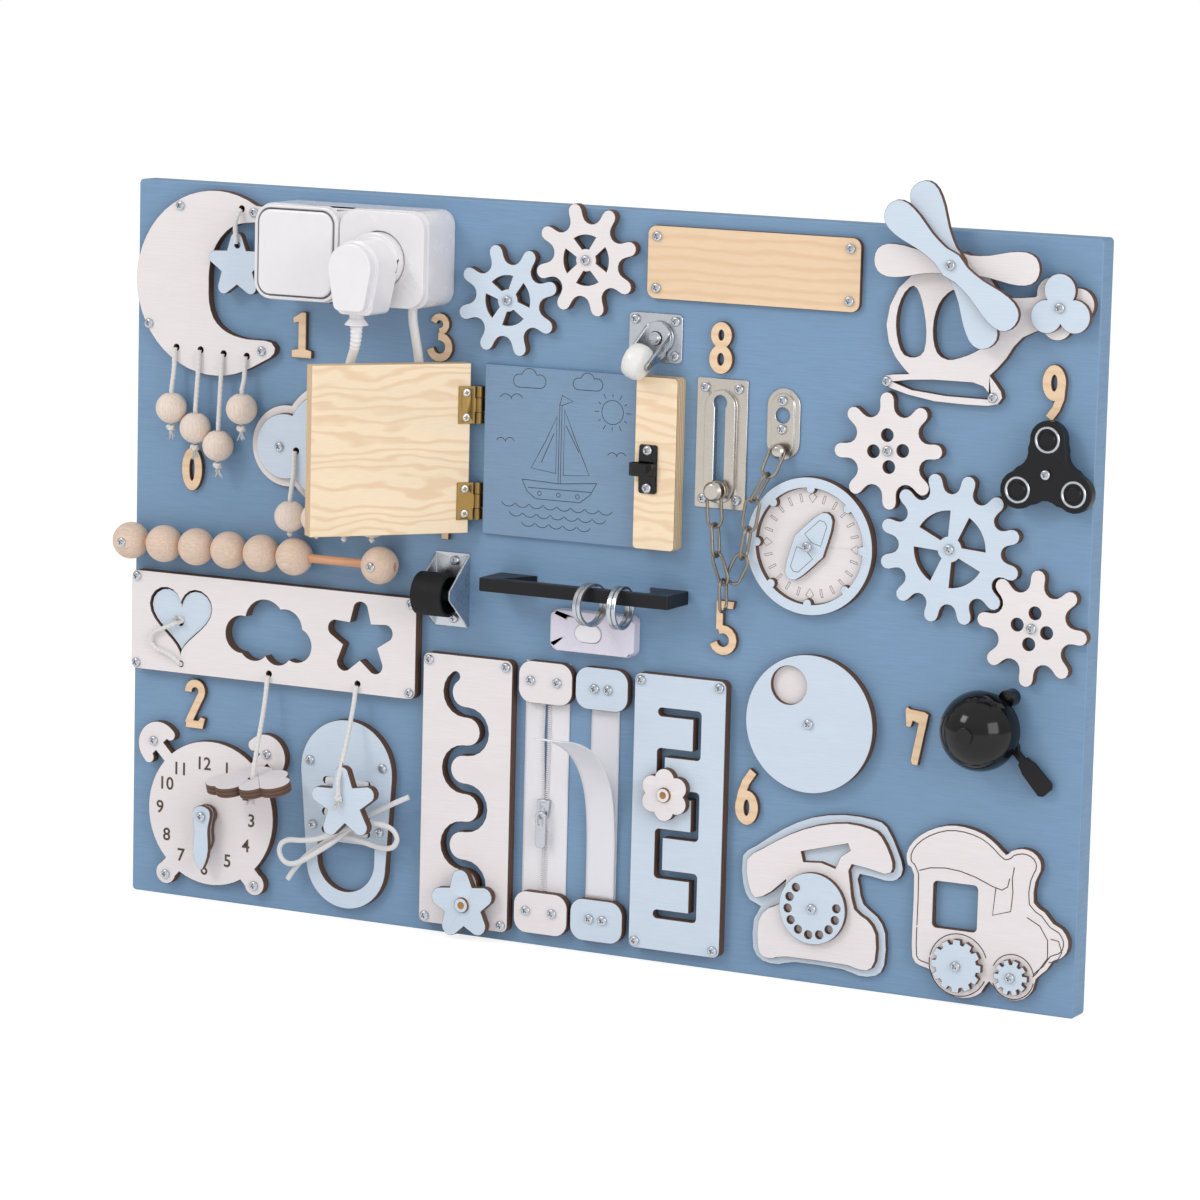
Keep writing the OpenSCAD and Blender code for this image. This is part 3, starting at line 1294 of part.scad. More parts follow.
// ---- telephone ----
phone_d = [2, 0.5];
phone_outline = smooth([[509.5, 20], [509.5, 40], [514.5, 49.5], [506, 53], [500.5, 64], [499.8, 84],
  [510, 92], [530, 106], [552, 116.5], [576, 121], [598, 120], [608, 116], [617, 100],
  [621, 88], [617, 80.5], [608, 78.5], [589, 81], [589, 72], [592.5, 60.5], [603, 53],
  [609.5, 42], [609.5, 20], [603, 11.5], [590, 10], [578, 13], [542, 13.5], [530, 10.5],
  [517, 11.5]], 2);
phone_face = smooth([[513, 22], [513, 40], [520, 49.5], [530, 54.5], [532, 66], [533, 71],
  [522, 61], [510, 55.5], [504.5, 65], [503, 82], [515, 91], [535, 103], [556, 111.5],
  [578, 115.5], [596, 113.5], [604, 109], [611, 97], [613, 88], [607, 83.5], [582.5, 87.5],
  [581.5, 75], [585.5, 56.5], [595, 50.5], [602, 41], [602, 22], [596, 14.8], [585, 16],
  [578, 17], [535, 17], [525, 14.5], [517, 15]], 2);
module phone_plate() {
  color(pale_blue) front() difference() {
    sheet(0, thin_t) polygon(shifted(phone_outline, phone_d));
    disc(dial_c, bore(), -1, 40);
  }
  color(white) front() difference() {
    sheet(thin_t, thin_t) difference() {
      polygon(shifted(phone_face, 2 * phone_d));
      polygon([[548, 93], [583, 102.5], [585, 98], [578, 93], [574, 84], [563, 87], [550, 86]]);
    }
    disc(dial_c, bore(), -1, 40);
  }
}
module phone_dial() {
  color(pale_blue) front() difference() {
    disc(dial_c, 25, 2 * thin_t + gap, thin_t);
    disc(dial_c, bore(), -1, 40);
    for (k = [0 : 9]) disc(dial_c + 18.5 * turned(133 + 26 * k), 2.9, 2 * thin_t - 1, 10);
  }
}

// ---- bell ----
base_z = 7;
base_t = 8;
module bell() {
  color(black) front() {
    disc(bell_c, 13, 0, base_z);
    disc(bell_c, dome_r - 2, base_z, base_t);
    disc([697, 214.5], 6, 0, base_z + 4);
    disc(lever_c, 2, 2, base_z - 1);
    disc(bell_c, 4, base_z, base_t + dome_r - 2.2);
    translate([bell_c[0], bell_c[1], base_z + base_t + gap]) difference() {
      sphere(dome_r, $fn = 72);
      sphere(dome_r - 1.5, $fn = 72);
      translate([-40, -40, -80]) cube([80, 80, 80]);
      cylinder(h = 60, r = 4.05);
    }
    disc(bell_c, 6, base_z + base_t + dome_r - 0.2, 2.2);
  }
}
lever_to = -47;
module bell_lever() {
  color(black) front() translate([lever_c[0], lever_c[1], base_z - 4]) difference() {
    union() {
      cylinder(h = 3.4, r = 5);
      rotate(lever_to) linear_extrude(3.4) {
        translate([3, -2.5]) square([12, 5]);
        polygon([[11, -4], [18, -6], [36, -6.5], [38.5, -4], [38.5, 4], [36, 6.5], [18, 6], [11, 4]]);
      }
    }
    translate([0, 0, -5]) cylinder(h = 20, r = 2 + run);
  }
}

board();
screws();
moon_plate();
cloud_plate();
plastic_cases();
plug_cord();
birch_trims();
metal_brackets();
door_panel();
dial_bases();
abacus_rod();
sorter_plate();
slot_plates();
woven_tapes();
end_plates();
shoe_plate();
laces();
phone_plate();
picture_plates();
bell();
black_fittings();
moon_star();
moon_beads();
cloud_beads();
switch_rocker();
plug();
gear_blue();
gear_white();
gear_upper();
gear_large();
gear_lower();
rotor_back();
rotor_middle();
rotor_front();
tail_rotor();
caster_fork();
caster_wheel();
spinner();
door();
door_hinges();
chain_slider();
chain();
compass_needle();
viewer_disc();
abacus_beads();
roller();
key_rings();
push_button();
heart_piece();
cloud_piece();
star_piece();
wave_knob();
maze_knob();
zip_slider();
hour_hand();
minute_hand();
phone_dial();
wheel_large();
wheel_small();
bell_lever();
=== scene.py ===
"""Looks of a wooden busy board: painted ply plates, turned beads, cords and small fittings."""

import json
import logging
import math
import random
from collections.abc import Callable, Iterable, Sequence
from dataclasses import dataclass, field
from enum import Enum

import bmesh
import bpy
from mathutils import Matrix, Vector


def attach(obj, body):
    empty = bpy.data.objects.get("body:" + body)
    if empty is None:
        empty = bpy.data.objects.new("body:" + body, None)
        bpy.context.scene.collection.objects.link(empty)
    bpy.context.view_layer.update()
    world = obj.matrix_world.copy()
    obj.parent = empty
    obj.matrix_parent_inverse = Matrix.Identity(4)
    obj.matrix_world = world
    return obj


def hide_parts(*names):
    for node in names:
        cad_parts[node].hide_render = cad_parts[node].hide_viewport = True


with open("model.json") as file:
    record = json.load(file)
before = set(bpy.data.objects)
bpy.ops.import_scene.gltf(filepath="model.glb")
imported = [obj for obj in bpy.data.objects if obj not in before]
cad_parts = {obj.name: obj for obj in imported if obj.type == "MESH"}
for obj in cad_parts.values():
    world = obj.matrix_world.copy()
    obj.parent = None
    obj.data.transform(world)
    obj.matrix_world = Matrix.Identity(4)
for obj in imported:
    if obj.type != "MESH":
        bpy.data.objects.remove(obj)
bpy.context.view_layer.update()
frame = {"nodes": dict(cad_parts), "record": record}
BODY = {node: body for body, nodes in frame["record"]["behaviour"]["bodies"].items() for node in nodes}
log = logging.getLogger("busy_board")

Point = tuple[float, float, float]
Tone = tuple[int, int, int]
Place = tuple[float, float]
OUT = Vector((0, -1, 0))
UP = Vector((0, 0, 1))
UV_NAME = "flat"
MM = 0.001
BOARD_W, BOARD_H, BOARD_T = 750.0, 525.0, 18.0


def at(x: float, y: float, h: float) -> Vector:
    """Point of the row frame for a place on the board and a height over it, in millimetres."""
    return Vector((x - BOARD_W / 2, -BOARD_T - h, y - BOARD_H / 2)) * MM


def on_board(p: Vector) -> Vector:
    """Board place and height in millimetres of a point of the row frame."""
    return Vector((p.x * 1000 + BOARD_W / 2, p.z * 1000 + BOARD_H / 2, -BOARD_T - p.y * 1000))


def linear(tone: Tone) -> tuple[float, float, float, float]:
    """Linear colour of an sRGB tone from 0 to 255."""
    def one(c: float) -> float:
        """Linear value of one channel."""
        return c / 12.92 if c <= 0.04045 else ((c + 0.055) / 1.055) ** 2.4
    return (one(tone[0] / 255), one(tone[1] / 255), one(tone[2] / 255), 1.0)


def polar(centre: Place, radius: float, degrees: float) -> Place:
    """Place at a radius and an angle round a centre."""
    a = math.radians(degrees)
    return (centre[0] + radius * math.cos(a), centre[1] + radius * math.sin(a))


def in_scene(name: str, data: bpy.types.ID) -> bpy.types.Object:
    """New object of the scene that holds some data."""
    made = bpy.data.objects.new(name, data)
    bpy.context.scene.collection.objects.link(made)
    return made


# ---------------------------------------------------------------- shader effects


class Graph:
    """A node tree under construction, with short calls for the nodes that the finishes use."""

    def __init__(self, tree: bpy.types.NodeTree) -> None:
        """Starts on an empty tree."""
        self.tree = tree

    @classmethod
    def blank(cls, owner: bpy.types.Material | bpy.types.World) -> "Graph":
        """Graph of a material or a world whose nodes are cleared first."""
        owner.use_nodes = True
        owner.node_tree.nodes.clear()
        return cls(owner.node_tree)

    def add(self, kind: str, inputs: dict | None = None, **settings: object) -> bpy.types.Node:
        """Adds a node.

        Args:
            kind: The node's type name.
            inputs: Values or sockets for its inputs, by name or index.
            settings: Properties of the node.

        Returns:
            The new node.
        """
        node = self.tree.nodes.new(kind)
        for key, value in settings.items():
            setattr(node, key, value)
        for key, value in (inputs or {}).items():
            if isinstance(value, bpy.types.NodeSocket):
                self.tree.links.new(value, node.inputs[key])
            else:
                node.inputs[key].default_value = value
        return node

    def link(self, source: bpy.types.NodeSocket, target: bpy.types.NodeSocket) -> None:
        """Joins two sockets."""
        self.tree.links.new(source, target)

    def maths(self, operation: str, a: object, b: object = 0.0) -> bpy.types.NodeSocket:
        """Result of a maths node on two values."""
        return self.add("ShaderNodeMath", {0: a, 1: b}, operation=operation).outputs[0]

    def span(self, value: object, low: float, high: float, to_low: float = 0.0,
             to_high: float = 1.0) -> bpy.types.NodeSocket:
        """Value mapped from one span to another, held inside it."""
        return self.add("ShaderNodeMapRange", {0: value, 1: low, 2: high, 3: to_low, 4: to_high}).outputs[0]

    def mix(self, share: object, a: object, b: object) -> bpy.types.NodeSocket:
        """Colour between a and b."""
        return self.add("ShaderNodeMix", {0: share, 6: a, 7: b}, data_type="RGBA").outputs[2]

    def stretched(self, vector: object, factor: object) -> bpy.types.NodeSocket:
        """Vector multiplied axis by axis."""
        return self.add("ShaderNodeVectorMath", {0: vector, 1: factor}, operation="MULTIPLY").outputs[0]

    def noise(self, vector: object, scale: object, detail: float = 3.0,
              rough: float = 0.55) -> bpy.types.NodeSocket:
        """Value of a noise texture."""
        return self.add("ShaderNodeTexNoise", {"Vector": vector, "Scale": scale, "Detail": detail,
                                               "Roughness": rough}).outputs[0]

    def bands(self, vector: object, scale: object, distortion: object = 0.0,
              axis: str = "X") -> bpy.types.NodeSocket:
        """Value of a band wave texture."""
        return self.add("ShaderNodeTexWave", {"Vector": vector, "Scale": scale, "Distortion": distortion,
                                              "Detail": 2.0, "Detail Scale": 1.4},
                        wave_type="BANDS", bands_direction=axis).outputs[1]

    def bump(self, height: object, strength: float, distance: float) -> bpy.types.NodeSocket:
        """Normal of a height."""
        return self.add("ShaderNodeBump", {"Height": height, "Strength": strength,
                                           "Distance": distance}).outputs[0]

    def effect(self, tree: bpy.types.NodeTree, inputs: dict) -> bpy.types.Node:
        """Places a shared effect with this material's own values."""
        return self.add("ShaderNodeGroup", inputs, node_tree=tree)


class Effects:
    """Shader node groups that several finishes share, each built once."""

    made: dict[str, bpy.types.NodeTree] = {}

    @classmethod
    def begin(cls, name: str, inputs: Sequence[tuple[str, str]],
              outputs: Sequence[str]) -> tuple[Graph, bpy.types.Node, bpy.types.Node]:
        """Starts a group.

        Args:
            name: The group's name.
            inputs: Pairs of socket name and kind, Vector or Float.
            outputs: Names of its value outputs.

        Returns:
            The graph, its input node and its output node.
        """
        tree = bpy.data.node_groups.new(name, "ShaderNodeTree")
        for title, kind in inputs:
            tree.interface.new_socket(title, in_out="INPUT", socket_type="NodeSocket" + kind)
        for title in outputs:
            tree.interface.new_socket(title, in_out="OUTPUT", socket_type="NodeSocketFloat")
        cls.made[name] = tree
        g = Graph(tree)
        return g, g.add("NodeGroupInput"), g.add("NodeGroupOutput")

    @classmethod
    def fine_grain(cls) -> bpy.types.NodeTree:
        """Long fine lines of wood under paint, and a slow cloud over them."""
        if "fine_grain" not in cls.made:
            g, i, o = cls.begin("fine_grain", [("Vector", "Vector"), ("Stretch", "Vector"),
                                               ("Scale", "Float")], ["Grain", "Cloud"])
            run = g.stretched(i.outputs["Vector"], i.outputs["Stretch"])
            g.link(g.span(g.noise(run, i.outputs["Scale"], 5.0, 0.62), 0.36, 0.64), o.inputs["Grain"])
            g.link(g.span(g.noise(run, 60.0, 2.0), 0.3, 0.7), o.inputs["Cloud"])
        return cls.made["fine_grain"]

    @classmethod
    def veneer_figure(cls) -> bpy.types.NodeTree:
        """Flowing figure of rotary cut veneer with short pores along it."""
        if "veneer_figure" not in cls.made:
            g, i, o = cls.begin("veneer_figure", [("Vector", "Vector"), ("Scale", "Float"),
                                                  ("Waviness", "Float")], ["Figure", "Pores"])
            run = g.stretched(i.outputs["Vector"], (0.32, 1.0, 1.0))
            rings = g.bands(run, i.outputs["Scale"], i.outputs["Waviness"], "Y")
            g.link(rings, o.inputs["Figure"])
            pores = g.noise(g.stretched(i.outputs["Vector"], (0.06, 1.0, 1.0)), 1900.0, 3.0, 0.6)
            g.link(g.span(pores, 0.35, 0.62), o.inputs["Pores"])
        return cls.made["veneer_figure"]

    @classmethod
    def sawn_ply(cls) -> bpy.types.NodeTree:
        """Glue lines across the thickness and the streaks that cutting leaves along the edge."""
        if "sawn_ply" not in cls.made:
            g, i, o = cls.begin("sawn_ply", [("Vector", "Vector"), ("Layer", "Float")],
                                ["Plies", "Streaks"])
            x = g.add("ShaderNodeSeparateXYZ", {0: i.outputs["Vector"]}).outputs[0]
            wave = g.maths("SINE", g.maths("MULTIPLY", x, g.maths("DIVIDE", math.pi, i.outputs["Layer"])))
            g.link(g.span(wave, -0.35, 0.35), o.inputs["Plies"])
            run = g.stretched(i.outputs["Vector"], (0.12, 1.0, 1.0))
            g.link(g.span(g.noise(run, 1500.0, 3.0), 0.35, 0.65), o.inputs["Streaks"])
        return cls.made["sawn_ply"]

    @classmethod
    def handled(cls) -> bpy.types.NodeTree:
        """Smudges and fine rubbing that come with use."""
        if "handled" not in cls.made:
            g, i, o = cls.begin("handled", [("Vector", "Vector"), ("Scale", "Float")], ["Smudge", "Fine"])
            g.link(g.span(g.noise(i.outputs["Vector"], i.outputs["Scale"], 4.0, 0.6), 0.35, 0.7),
                   o.inputs["Smudge"])
            g.link(g.span(g.noise(i.outputs["Vector"], 2600.0, 2.0), 0.35, 0.65), o.inputs["Fine"])
        return cls.made["handled"]

    @classmethod
    def threads(cls) -> bpy.types.NodeTree:
        """Crossing yarns of a tape, or the fibres of a cord, on the piece's own map."""
        if "threads" not in cls.made:
            g, i, o = cls.begin("threads", [("Vector", "Vector"), ("Across", "Float"),
                                            ("Along", "Float")], ["Yarn", "Fibre"])
            across = g.bands(i.outputs["Vector"], i.outputs["Across"], 0.2, "X")
            along = g.bands(i.outputs["Vector"], i.outputs["Along"], 0.2, "Y")
            g.link(g.maths("MULTIPLY", across, along), o.inputs["Yarn"])
            g.link(g.span(g.noise(i.outputs["Vector"], 2400.0, 4.0, 0.7), 0.3, 0.7), o.inputs["Fibre"])
        return cls.made["threads"]


# ---------------------------------------------------------------- finishes


@dataclass(frozen=True)
class Finish:
    """A surface finish; each kind wires its own colour, roughness and relief."""

    name: str
    tone: Tone
    roughness: float = 0.5

    def vector(self, g: Graph) -> bpy.types.NodeSocket:
        """The piece's own coordinates in metres."""
        return g.add("ShaderNodeTexCoord").outputs["Object"]

    def wire(self, g: Graph, shader: bpy.types.Node) -> None:
        """Joins the finish's nodes to the shader."""
        raise NotImplementedError

    def material(self) -> bpy.types.Material:
        """The finish's material, made at its first use."""
        found = bpy.data.materials.get(self.name)
        if found is not None:
            return found
        made = bpy.data.materials.new(self.name)
        g = Graph.blank(made)
        shader = g.add("ShaderNodeBsdfPrincipled", {"Base Color": linear(self.tone),
                                                    "Roughness": self.roughness})
        out = g.add("ShaderNodeOutputMaterial")
        g.link(shader.outputs[0], out.inputs["Surface"])
        self.wire(g, shader)
        return made

    def shade(self, share: float) -> tuple[float, float, float, float]:
        """The tone made darker, or lighter where share is over 1."""
        r, g, b, a = linear(self.tone)
        return (min(1.0, r * share), min(1.0, g * share), min(1.0, b * share), a)


@dataclass(frozen=True)
class Mapped(Finish):
    """A finish that follows the piece's own map, so that grain runs along each piece."""

    def vector(self, g: Graph) -> bpy.types.NodeSocket:
        """The piece's own map in metres."""
        return g.add("ShaderNodeUVMap", uv_map=UV_NAME).outputs[0]


@dataclass(frozen=True)
class PaintedPly(Mapped):
    """Thin satin paint that lets the fine grain of the ply show."""

    grain: float = 0.93
    fineness: float = 1100.0

    def wire(self, g: Graph, shader: bpy.types.Node) -> None:
        """Joins the finish's nodes to the shader."""
        vector = self.vector(g)
        wood = g.effect(Effects.fine_grain(), {"Vector": vector, "Stretch": (0.045, 1.0, 1.0),
                                               "Scale": self.fineness})
        used = g.effect(Effects.handled(), {"Vector": vector, "Scale": 40.0})
        tone = g.mix(wood.outputs["Grain"], self.shade(self.grain), self.shade(1.03))
        slow = g.mix(g.maths("MULTIPLY", wood.outputs["Cloud"], 0.5), tone, self.shade(0.95))
        g.link(slow, shader.inputs["Base Color"])
        rough = g.span(used.outputs["Smudge"], 0.0, 1.0, self.roughness - 0.06, self.roughness + 0.08)
        g.link(rough, shader.inputs["Roughness"])
        g.link(g.bump(wood.outputs["Grain"], 0.22, 0.00012), shader.inputs["Normal"])


@dataclass(frozen=True)
class SawnEdge(Mapped):
    """Edge of the ply: glue lines between the layers, dark where a laser has cut it."""

    layer: float = 0.00135
    contrast: float = 0.55

    def wire(self, g: Graph, shader: bpy.types.Node) -> None:
        """Joins the finish's nodes to the shader."""
        cut = g.effect(Effects.sawn_ply(), {"Vector": self.vector(g), "Layer": self.layer})
        plies = g.mix(cut.outputs["Plies"], self.shade(self.contrast), self.shade(1.15))
        tone = g.mix(g.maths("MULTIPLY", cut.outputs["Streaks"], 0.55), plies, self.shade(0.8))
        g.link(tone, shader.inputs["Base Color"])
        g.link(g.span(cut.outputs["Streaks"], 0.0, 1.0, 0.7, 0.9), shader.inputs["Roughness"])
        g.link(g.bump(cut.outputs["Streaks"], 0.3, 0.0002), shader.inputs["Normal"])


@dataclass(frozen=True)
class Veneer(Mapped):
    """Bare birch veneer with flowing figure and pores."""

    figure: float = 0.82
    scale: float = 34.0
    waviness: float = 13.0
    warm: Tone = (226, 182, 134)

    def wire(self, g: Graph, shader: bpy.types.Node) -> None:
        """Joins the finish's nodes to the shader."""
        vector = self.vector(g)
        wood = g.effect(Effects.veneer_figure(), {"Vector": vector, "Scale": self.scale,
                                                  "Waviness": self.waviness})
        cloud = g.effect(Effects.fine_grain(), {"Vector": vector, "Stretch": (0.3, 1.0, 1.0),
                                                "Scale": 30.0})
        line = g.span(wood.outputs["Figure"], 0.45, 1.0, 0.0, 0.5)
        tone = g.mix(line, self.shade(1.02), linear(self.warm))
        slow = g.mix(g.maths("MULTIPLY", cloud.outputs["Grain"], 0.3), tone, self.shade(self.figure))
        pores = g.mix(g.span(wood.outputs["Pores"], 0.0, 1.0, 0.16, 0.0), slow, self.shade(0.68))
        g.link(pores, shader.inputs["Base Color"])
        g.link(g.span(wood.outputs["Pores"], 0.0, 1.0, self.roughness + 0.1, self.roughness),
               shader.inputs["Roughness"])
        g.link(g.bump(wood.outputs["Pores"], 0.18, 0.0001), shader.inputs["Normal"])


@dataclass(frozen=True)
class TurnedWood(Finish):
    """Sanded beech or birch turned to a bead or a rod, with the grain along one axis."""

    stretch: Point = (0.05, 1.0, 1.0)

    def wire(self, g: Graph, shader: bpy.types.Node) -> None:
        """Joins the finish's nodes to the shader."""
        vector = self.vector(g)
        wood = g.effect(Effects.fine_grain(), {"Vector": vector, "Stretch": self.stretch, "Scale": 900.0})
        broad = g.noise(g.stretched(vector, self.stretch), 220.0, 2.0)
        tone = g.mix(wood.outputs["Grain"], self.shade(0.82), self.shade(1.05))
        g.link(g.mix(g.span(broad, 0.35, 0.65, 0.0, 0.45), tone, self.shade(0.86)),
               shader.inputs["Base Color"])
        g.link(g.span(wood.outputs["Grain"], 0.0, 1.0, self.roughness + 0.1, self.roughness),
               shader.inputs["Roughness"])
        g.link(g.bump(wood.outputs["Grain"], 0.2, 0.00015), shader.inputs["Normal"])


@dataclass(frozen=True)
class Metal(Finish):
    """Plated or brushed metal; its lines lie along one axis."""

    stretch: Point = (1.0, 1.0, 0.05)
    brushed: float = 0.5

    def wire(self, g: Graph, shader: bpy.types.Node) -> None:
        """Joins the finish's nodes to the shader."""
        shader.inputs["Metallic"].default_value = 1.0
        vector = self.vector(g)
        lines = g.effect(Effects.fine_grain(), {"Vector": vector, "Stretch": self.stretch,
                                                "Scale": 1500.0})
        used = g.effect(Effects.handled(), {"Vector": vector, "Scale": 90.0})
        g.link(g.mix(used.outputs["Smudge"], self.shade(0.92), self.shade(1.03)),
               shader.inputs["Base Color"])
        worn = g.span(used.outputs["Smudge"], 0.0, 1.0, self.roughness - 0.05, self.roughness + 0.06)
        brush = g.maths("MULTIPLY", lines.outputs["Grain"], 0.16 * self.brushed)
        g.link(g.maths("ADD", brush, worn), shader.inputs["Roughness"])
        g.link(g.bump(lines.outputs["Grain"], 0.3 * self.brushed, 0.00008), shader.inputs["Normal"])


@dataclass(frozen=True)
class Moulded(Finish):
    """Moulded plastic or thick gloss paint."""

    coat: float = 0.3
    specular: float = 0.5

    def wire(self, g: Graph, shader: bpy.types.Node) -> None:
        """Joins the finish's nodes to the shader."""
        shader.inputs["Coat Weight"].default_value = self.coat
        shader.inputs["Coat Roughness"].default_value = 0.12
        shader.inputs["Specular IOR Level"].default_value = self.specular
        used = g.effect(Effects.handled(), {"Vector": self.vector(g), "Scale": 55.0})
        g.link(g.mix(used.outputs["Smudge"], self.shade(0.965), self.shade(1.0)),
               shader.inputs["Base Color"])
        g.link(g.span(used.outputs["Smudge"], 0.0, 1.0, self.roughness - 0.04, self.roughness + 0.07),
               shader.inputs["Roughness"])
        g.link(g.bump(used.outputs["Fine"], 0.08, 0.00006), shader.inputs["Normal"])


@dataclass(frozen=True)
class Yarn(Mapped):
    """Cotton or polyester yarn in a cord, a lace or a woven tape."""

    across: float = 220.0
    along: float = 220.0

    def wire(self, g: Graph, shader: bpy.types.Node) -> None:
        """Joins the finish's nodes to the shader."""
        shader.inputs["Sheen Weight"].default_value = 0.25
        cloth = g.effect(Effects.threads(), {"Vector": self.vector(g), "Across": self.across,
                                             "Along": self.along})
        tone = g.mix(cloth.outputs["Yarn"], self.shade(0.88), self.shade(1.03))
        g.link(g.mix(g.maths("MULTIPLY", cloth.outputs["Fibre"], 0.3), tone, self.shade(0.9)),
               shader.inputs["Base Color"])
        g.link(g.span(cloth.outputs["Fibre"], 0.0, 1.0, 0.78, 0.95), shader.inputs["Roughness"])
        relief = g.maths("ADD", cloth.outputs["Yarn"], g.maths("MULTIPLY", cloth.outputs["Fibre"], 0.4))
        g.link(g.bump(relief, 0.45, 0.0003), shader.inputs["Normal"])


class Look(Enum):
    """Every finish of the board, by a maker's plain name, and the painted shade in the gap round the rocker.
    """

    BOARD = PaintedPly("dusty_blue_paint", (120, 153, 186), 0.46, 0.9, 900.0)
    BOARD_EDGE = PaintedPly("dusty_blue_edge", (114, 146, 178), 0.55, 0.86, 700.0)
    PANEL = PaintedPly("panel_blue_paint", (122, 150, 179), 0.5, 0.9, 1000.0)
    WHITE = PaintedPly("white_paint", (232, 226, 227), 0.5, 0.965)
    PALE = PaintedPly("pale_blue_paint", (204, 217, 231), 0.5, 0.965)
    BURNT = SawnEdge("laser_cut_edge", (104, 76, 62), 0.8)
    PLY = SawnEdge("bare_ply_edge", (226, 196, 158), 0.7, 0.00133, 0.66)
    BIRCH = Veneer("birch_veneer", (249, 226, 194), 0.42)
    PLAIN_BIRCH = Veneer("sanded_birch", (236, 206, 172), 0.5, 0.9, 40.0, 4.0, (222, 182, 140))
    ABACUS = TurnedWood("beech_bead", (230, 204, 184), 0.48)
    ROD = TurnedWood("beech_rod", (214, 158, 120), 0.5)
    HUNG = TurnedWood("birch_bead", (240, 222, 208), 0.5, (1.0, 1.0, 0.06))
    ZINC = Metal("zinc_plating", (196, 200, 206), 0.26, (1.0, 1.0, 1.0), 0.3)
    NICKEL = Metal("brushed_nickel", (200, 193, 184), 0.24)
    CHAIN = Metal("worn_nickel", (150, 140, 128), 0.3, (1.0, 1.0, 1.0), 0.5)
    BRASS = Metal("antique_brass", (150, 122, 72), 0.34, (0.05, 1.0, 1.0), 0.7)
    BUTTON = Metal("bronze_button", (172, 128, 78), 0.3, (1.0, 1.0, 1.0), 0.3)
    CASE = Moulded("white_gloss_plastic", (232, 229, 232), 0.24, 0.4)
    ROCKER = Moulded("rocker_plastic", (236, 233, 236), 0.2, 0.5)
    # painted shade: a grey tone for the shadow in the gap round the rocker, drawn as a line
    SEAM = Moulded("painted_gap_shade", (120, 122, 128), 0.55, 0.0)
    LIGHT = Moulded("lilac_white_plastic", (222, 216, 230), 0.28, 0.3)
    BUTTON_CAP = Moulded("soft_white_button", (236, 234, 238), 0.4, 0.1)
    GLOSS_BLACK = Moulded("gloss_black_enamel", (11, 11, 13), 0.1, 0.12, 0.3)
    SATIN_BLACK = Moulded("satin_black_plastic", (24, 24, 27), 0.36, 0.0, 0.25)
    RUBBER = Moulded("black_rubber", (22, 22, 24), 0.6, 0.0, 0.25)
    MILKY = Moulded("milky_wheel", (234, 232, 230), 0.3, 0.3)
    LEAD = Moulded("white_lead_sheath", (228, 226, 226), 0.38, 0.1)
    COTTON = Yarn("white_cotton_cord", (232, 230, 228), 0.85, 260.0, 90.0)
    LACE = Yarn("white_shoe_lace", (236, 234, 234), 0.85, 420.0, 420.0)
    TAPE = Yarn("woven_tape", (244, 242, 246), 0.85, 330.0, 330.0)
    LOOPS = Yarn("soft_loop_strap", (243, 242, 248), 0.95, 700.0, 700.0)
    INK = SawnEdge("engraved_line", (92, 72, 60), 0.85, 0.0009, 0.8)
    PANEL_INK = SawnEdge("engraved_panel_line", (66, 66, 66), 0.85, 0.0009, 0.8)

    def made(self) -> bpy.types.Material:
        """The look's material."""
        return self.value.material()


# ---------------------------------------------------------------- mesh work


def show(name: str, mesh: bpy.types.Mesh, body: str, looks: Iterable[Look] = (),
         sharp: float = 35.0) -> bpy.types.Object:
    """Makes an object of a finished mesh and lets it ride on a body.

    Args:
        name: The piece's name.
        mesh: Its mesh, in the row frame.
        body: The CAD body that it moves with.
        looks: Finishes in the order of the mesh's material numbers.
        sharp: Angle in degrees over which an edge stays sharp.

    Returns:
        The new object.
    """
    for look in looks:
        mesh.materials.append(look.made())
    mesh.shade_smooth()
    mesh.set_sharp_from_angle(angle=math.radians(sharp))
    piece = in_scene(name, mesh)
    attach(piece, body)
    log.info("%s: %d faces on %s", name, len(mesh.polygons), body)
    return piece


def to_mesh(name: str, bm: bmesh.types.BMesh) -> bpy.types.Mesh:
    """Turns a bmesh into a mesh and frees it."""
    mesh = bpy.data.meshes.new(name)
    bm.to_mesh(mesh)
    bm.free()
    return mesh


def stands_for(piece: bpy.types.Object, *nodes: str) -> None:
    """Hides the CAD nodes that a piece stands for."""
    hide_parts(*nodes)


@dataclass
class Island:
    """One closed solid of a CAD node, with its box on the board and its main direction."""

    faces: list
    low: Vector
    high: Vector
    normal: Vector

    @property
    def centre(self) -> Vector:
        """Middle of the box, in board millimetres."""
        return (self.low + self.high) / 2

    @property
    def size(self) -> Vector:
        """Sides of the box."""
        return self.high - self.low


def main_direction(faces: Sequence) -> Vector:
    """Normal of the direction in which a solid has most of its surface."""
    areas = [(f.calc_area(), f) for f in faces]
    best, found = -1.0, OUT.copy()
    for _, face in sorted(areas, key=lambda pair: -pair[0])[:10]:
        total = sum(a for a, f in areas if abs(f.normal.dot(face.normal)) > 0.995)
        if total > best:
            best, found = total, face.normal.copy()
    return found


def cad_islands(node: str) -> tuple[bmesh.types.BMesh, list[Island]]:
    """Copy of a CAD node with its doubles merged, split into its solids.

    Args:
        node: The node's name.

    Returns:
        The copy and its islands, largest surface first.
    """
    bm = bmesh.new()
    bm.from_mesh(frame["nodes"][node].data)
    bmesh.ops.remove_doubles(bm, verts=bm.verts, dist=1e-6)
    bmesh.ops.dissolve_degenerate(bm, edges=bm.edges, dist=1e-7)
    bm.normal_update()
    found = solids(bm.faces)
    return bm, found


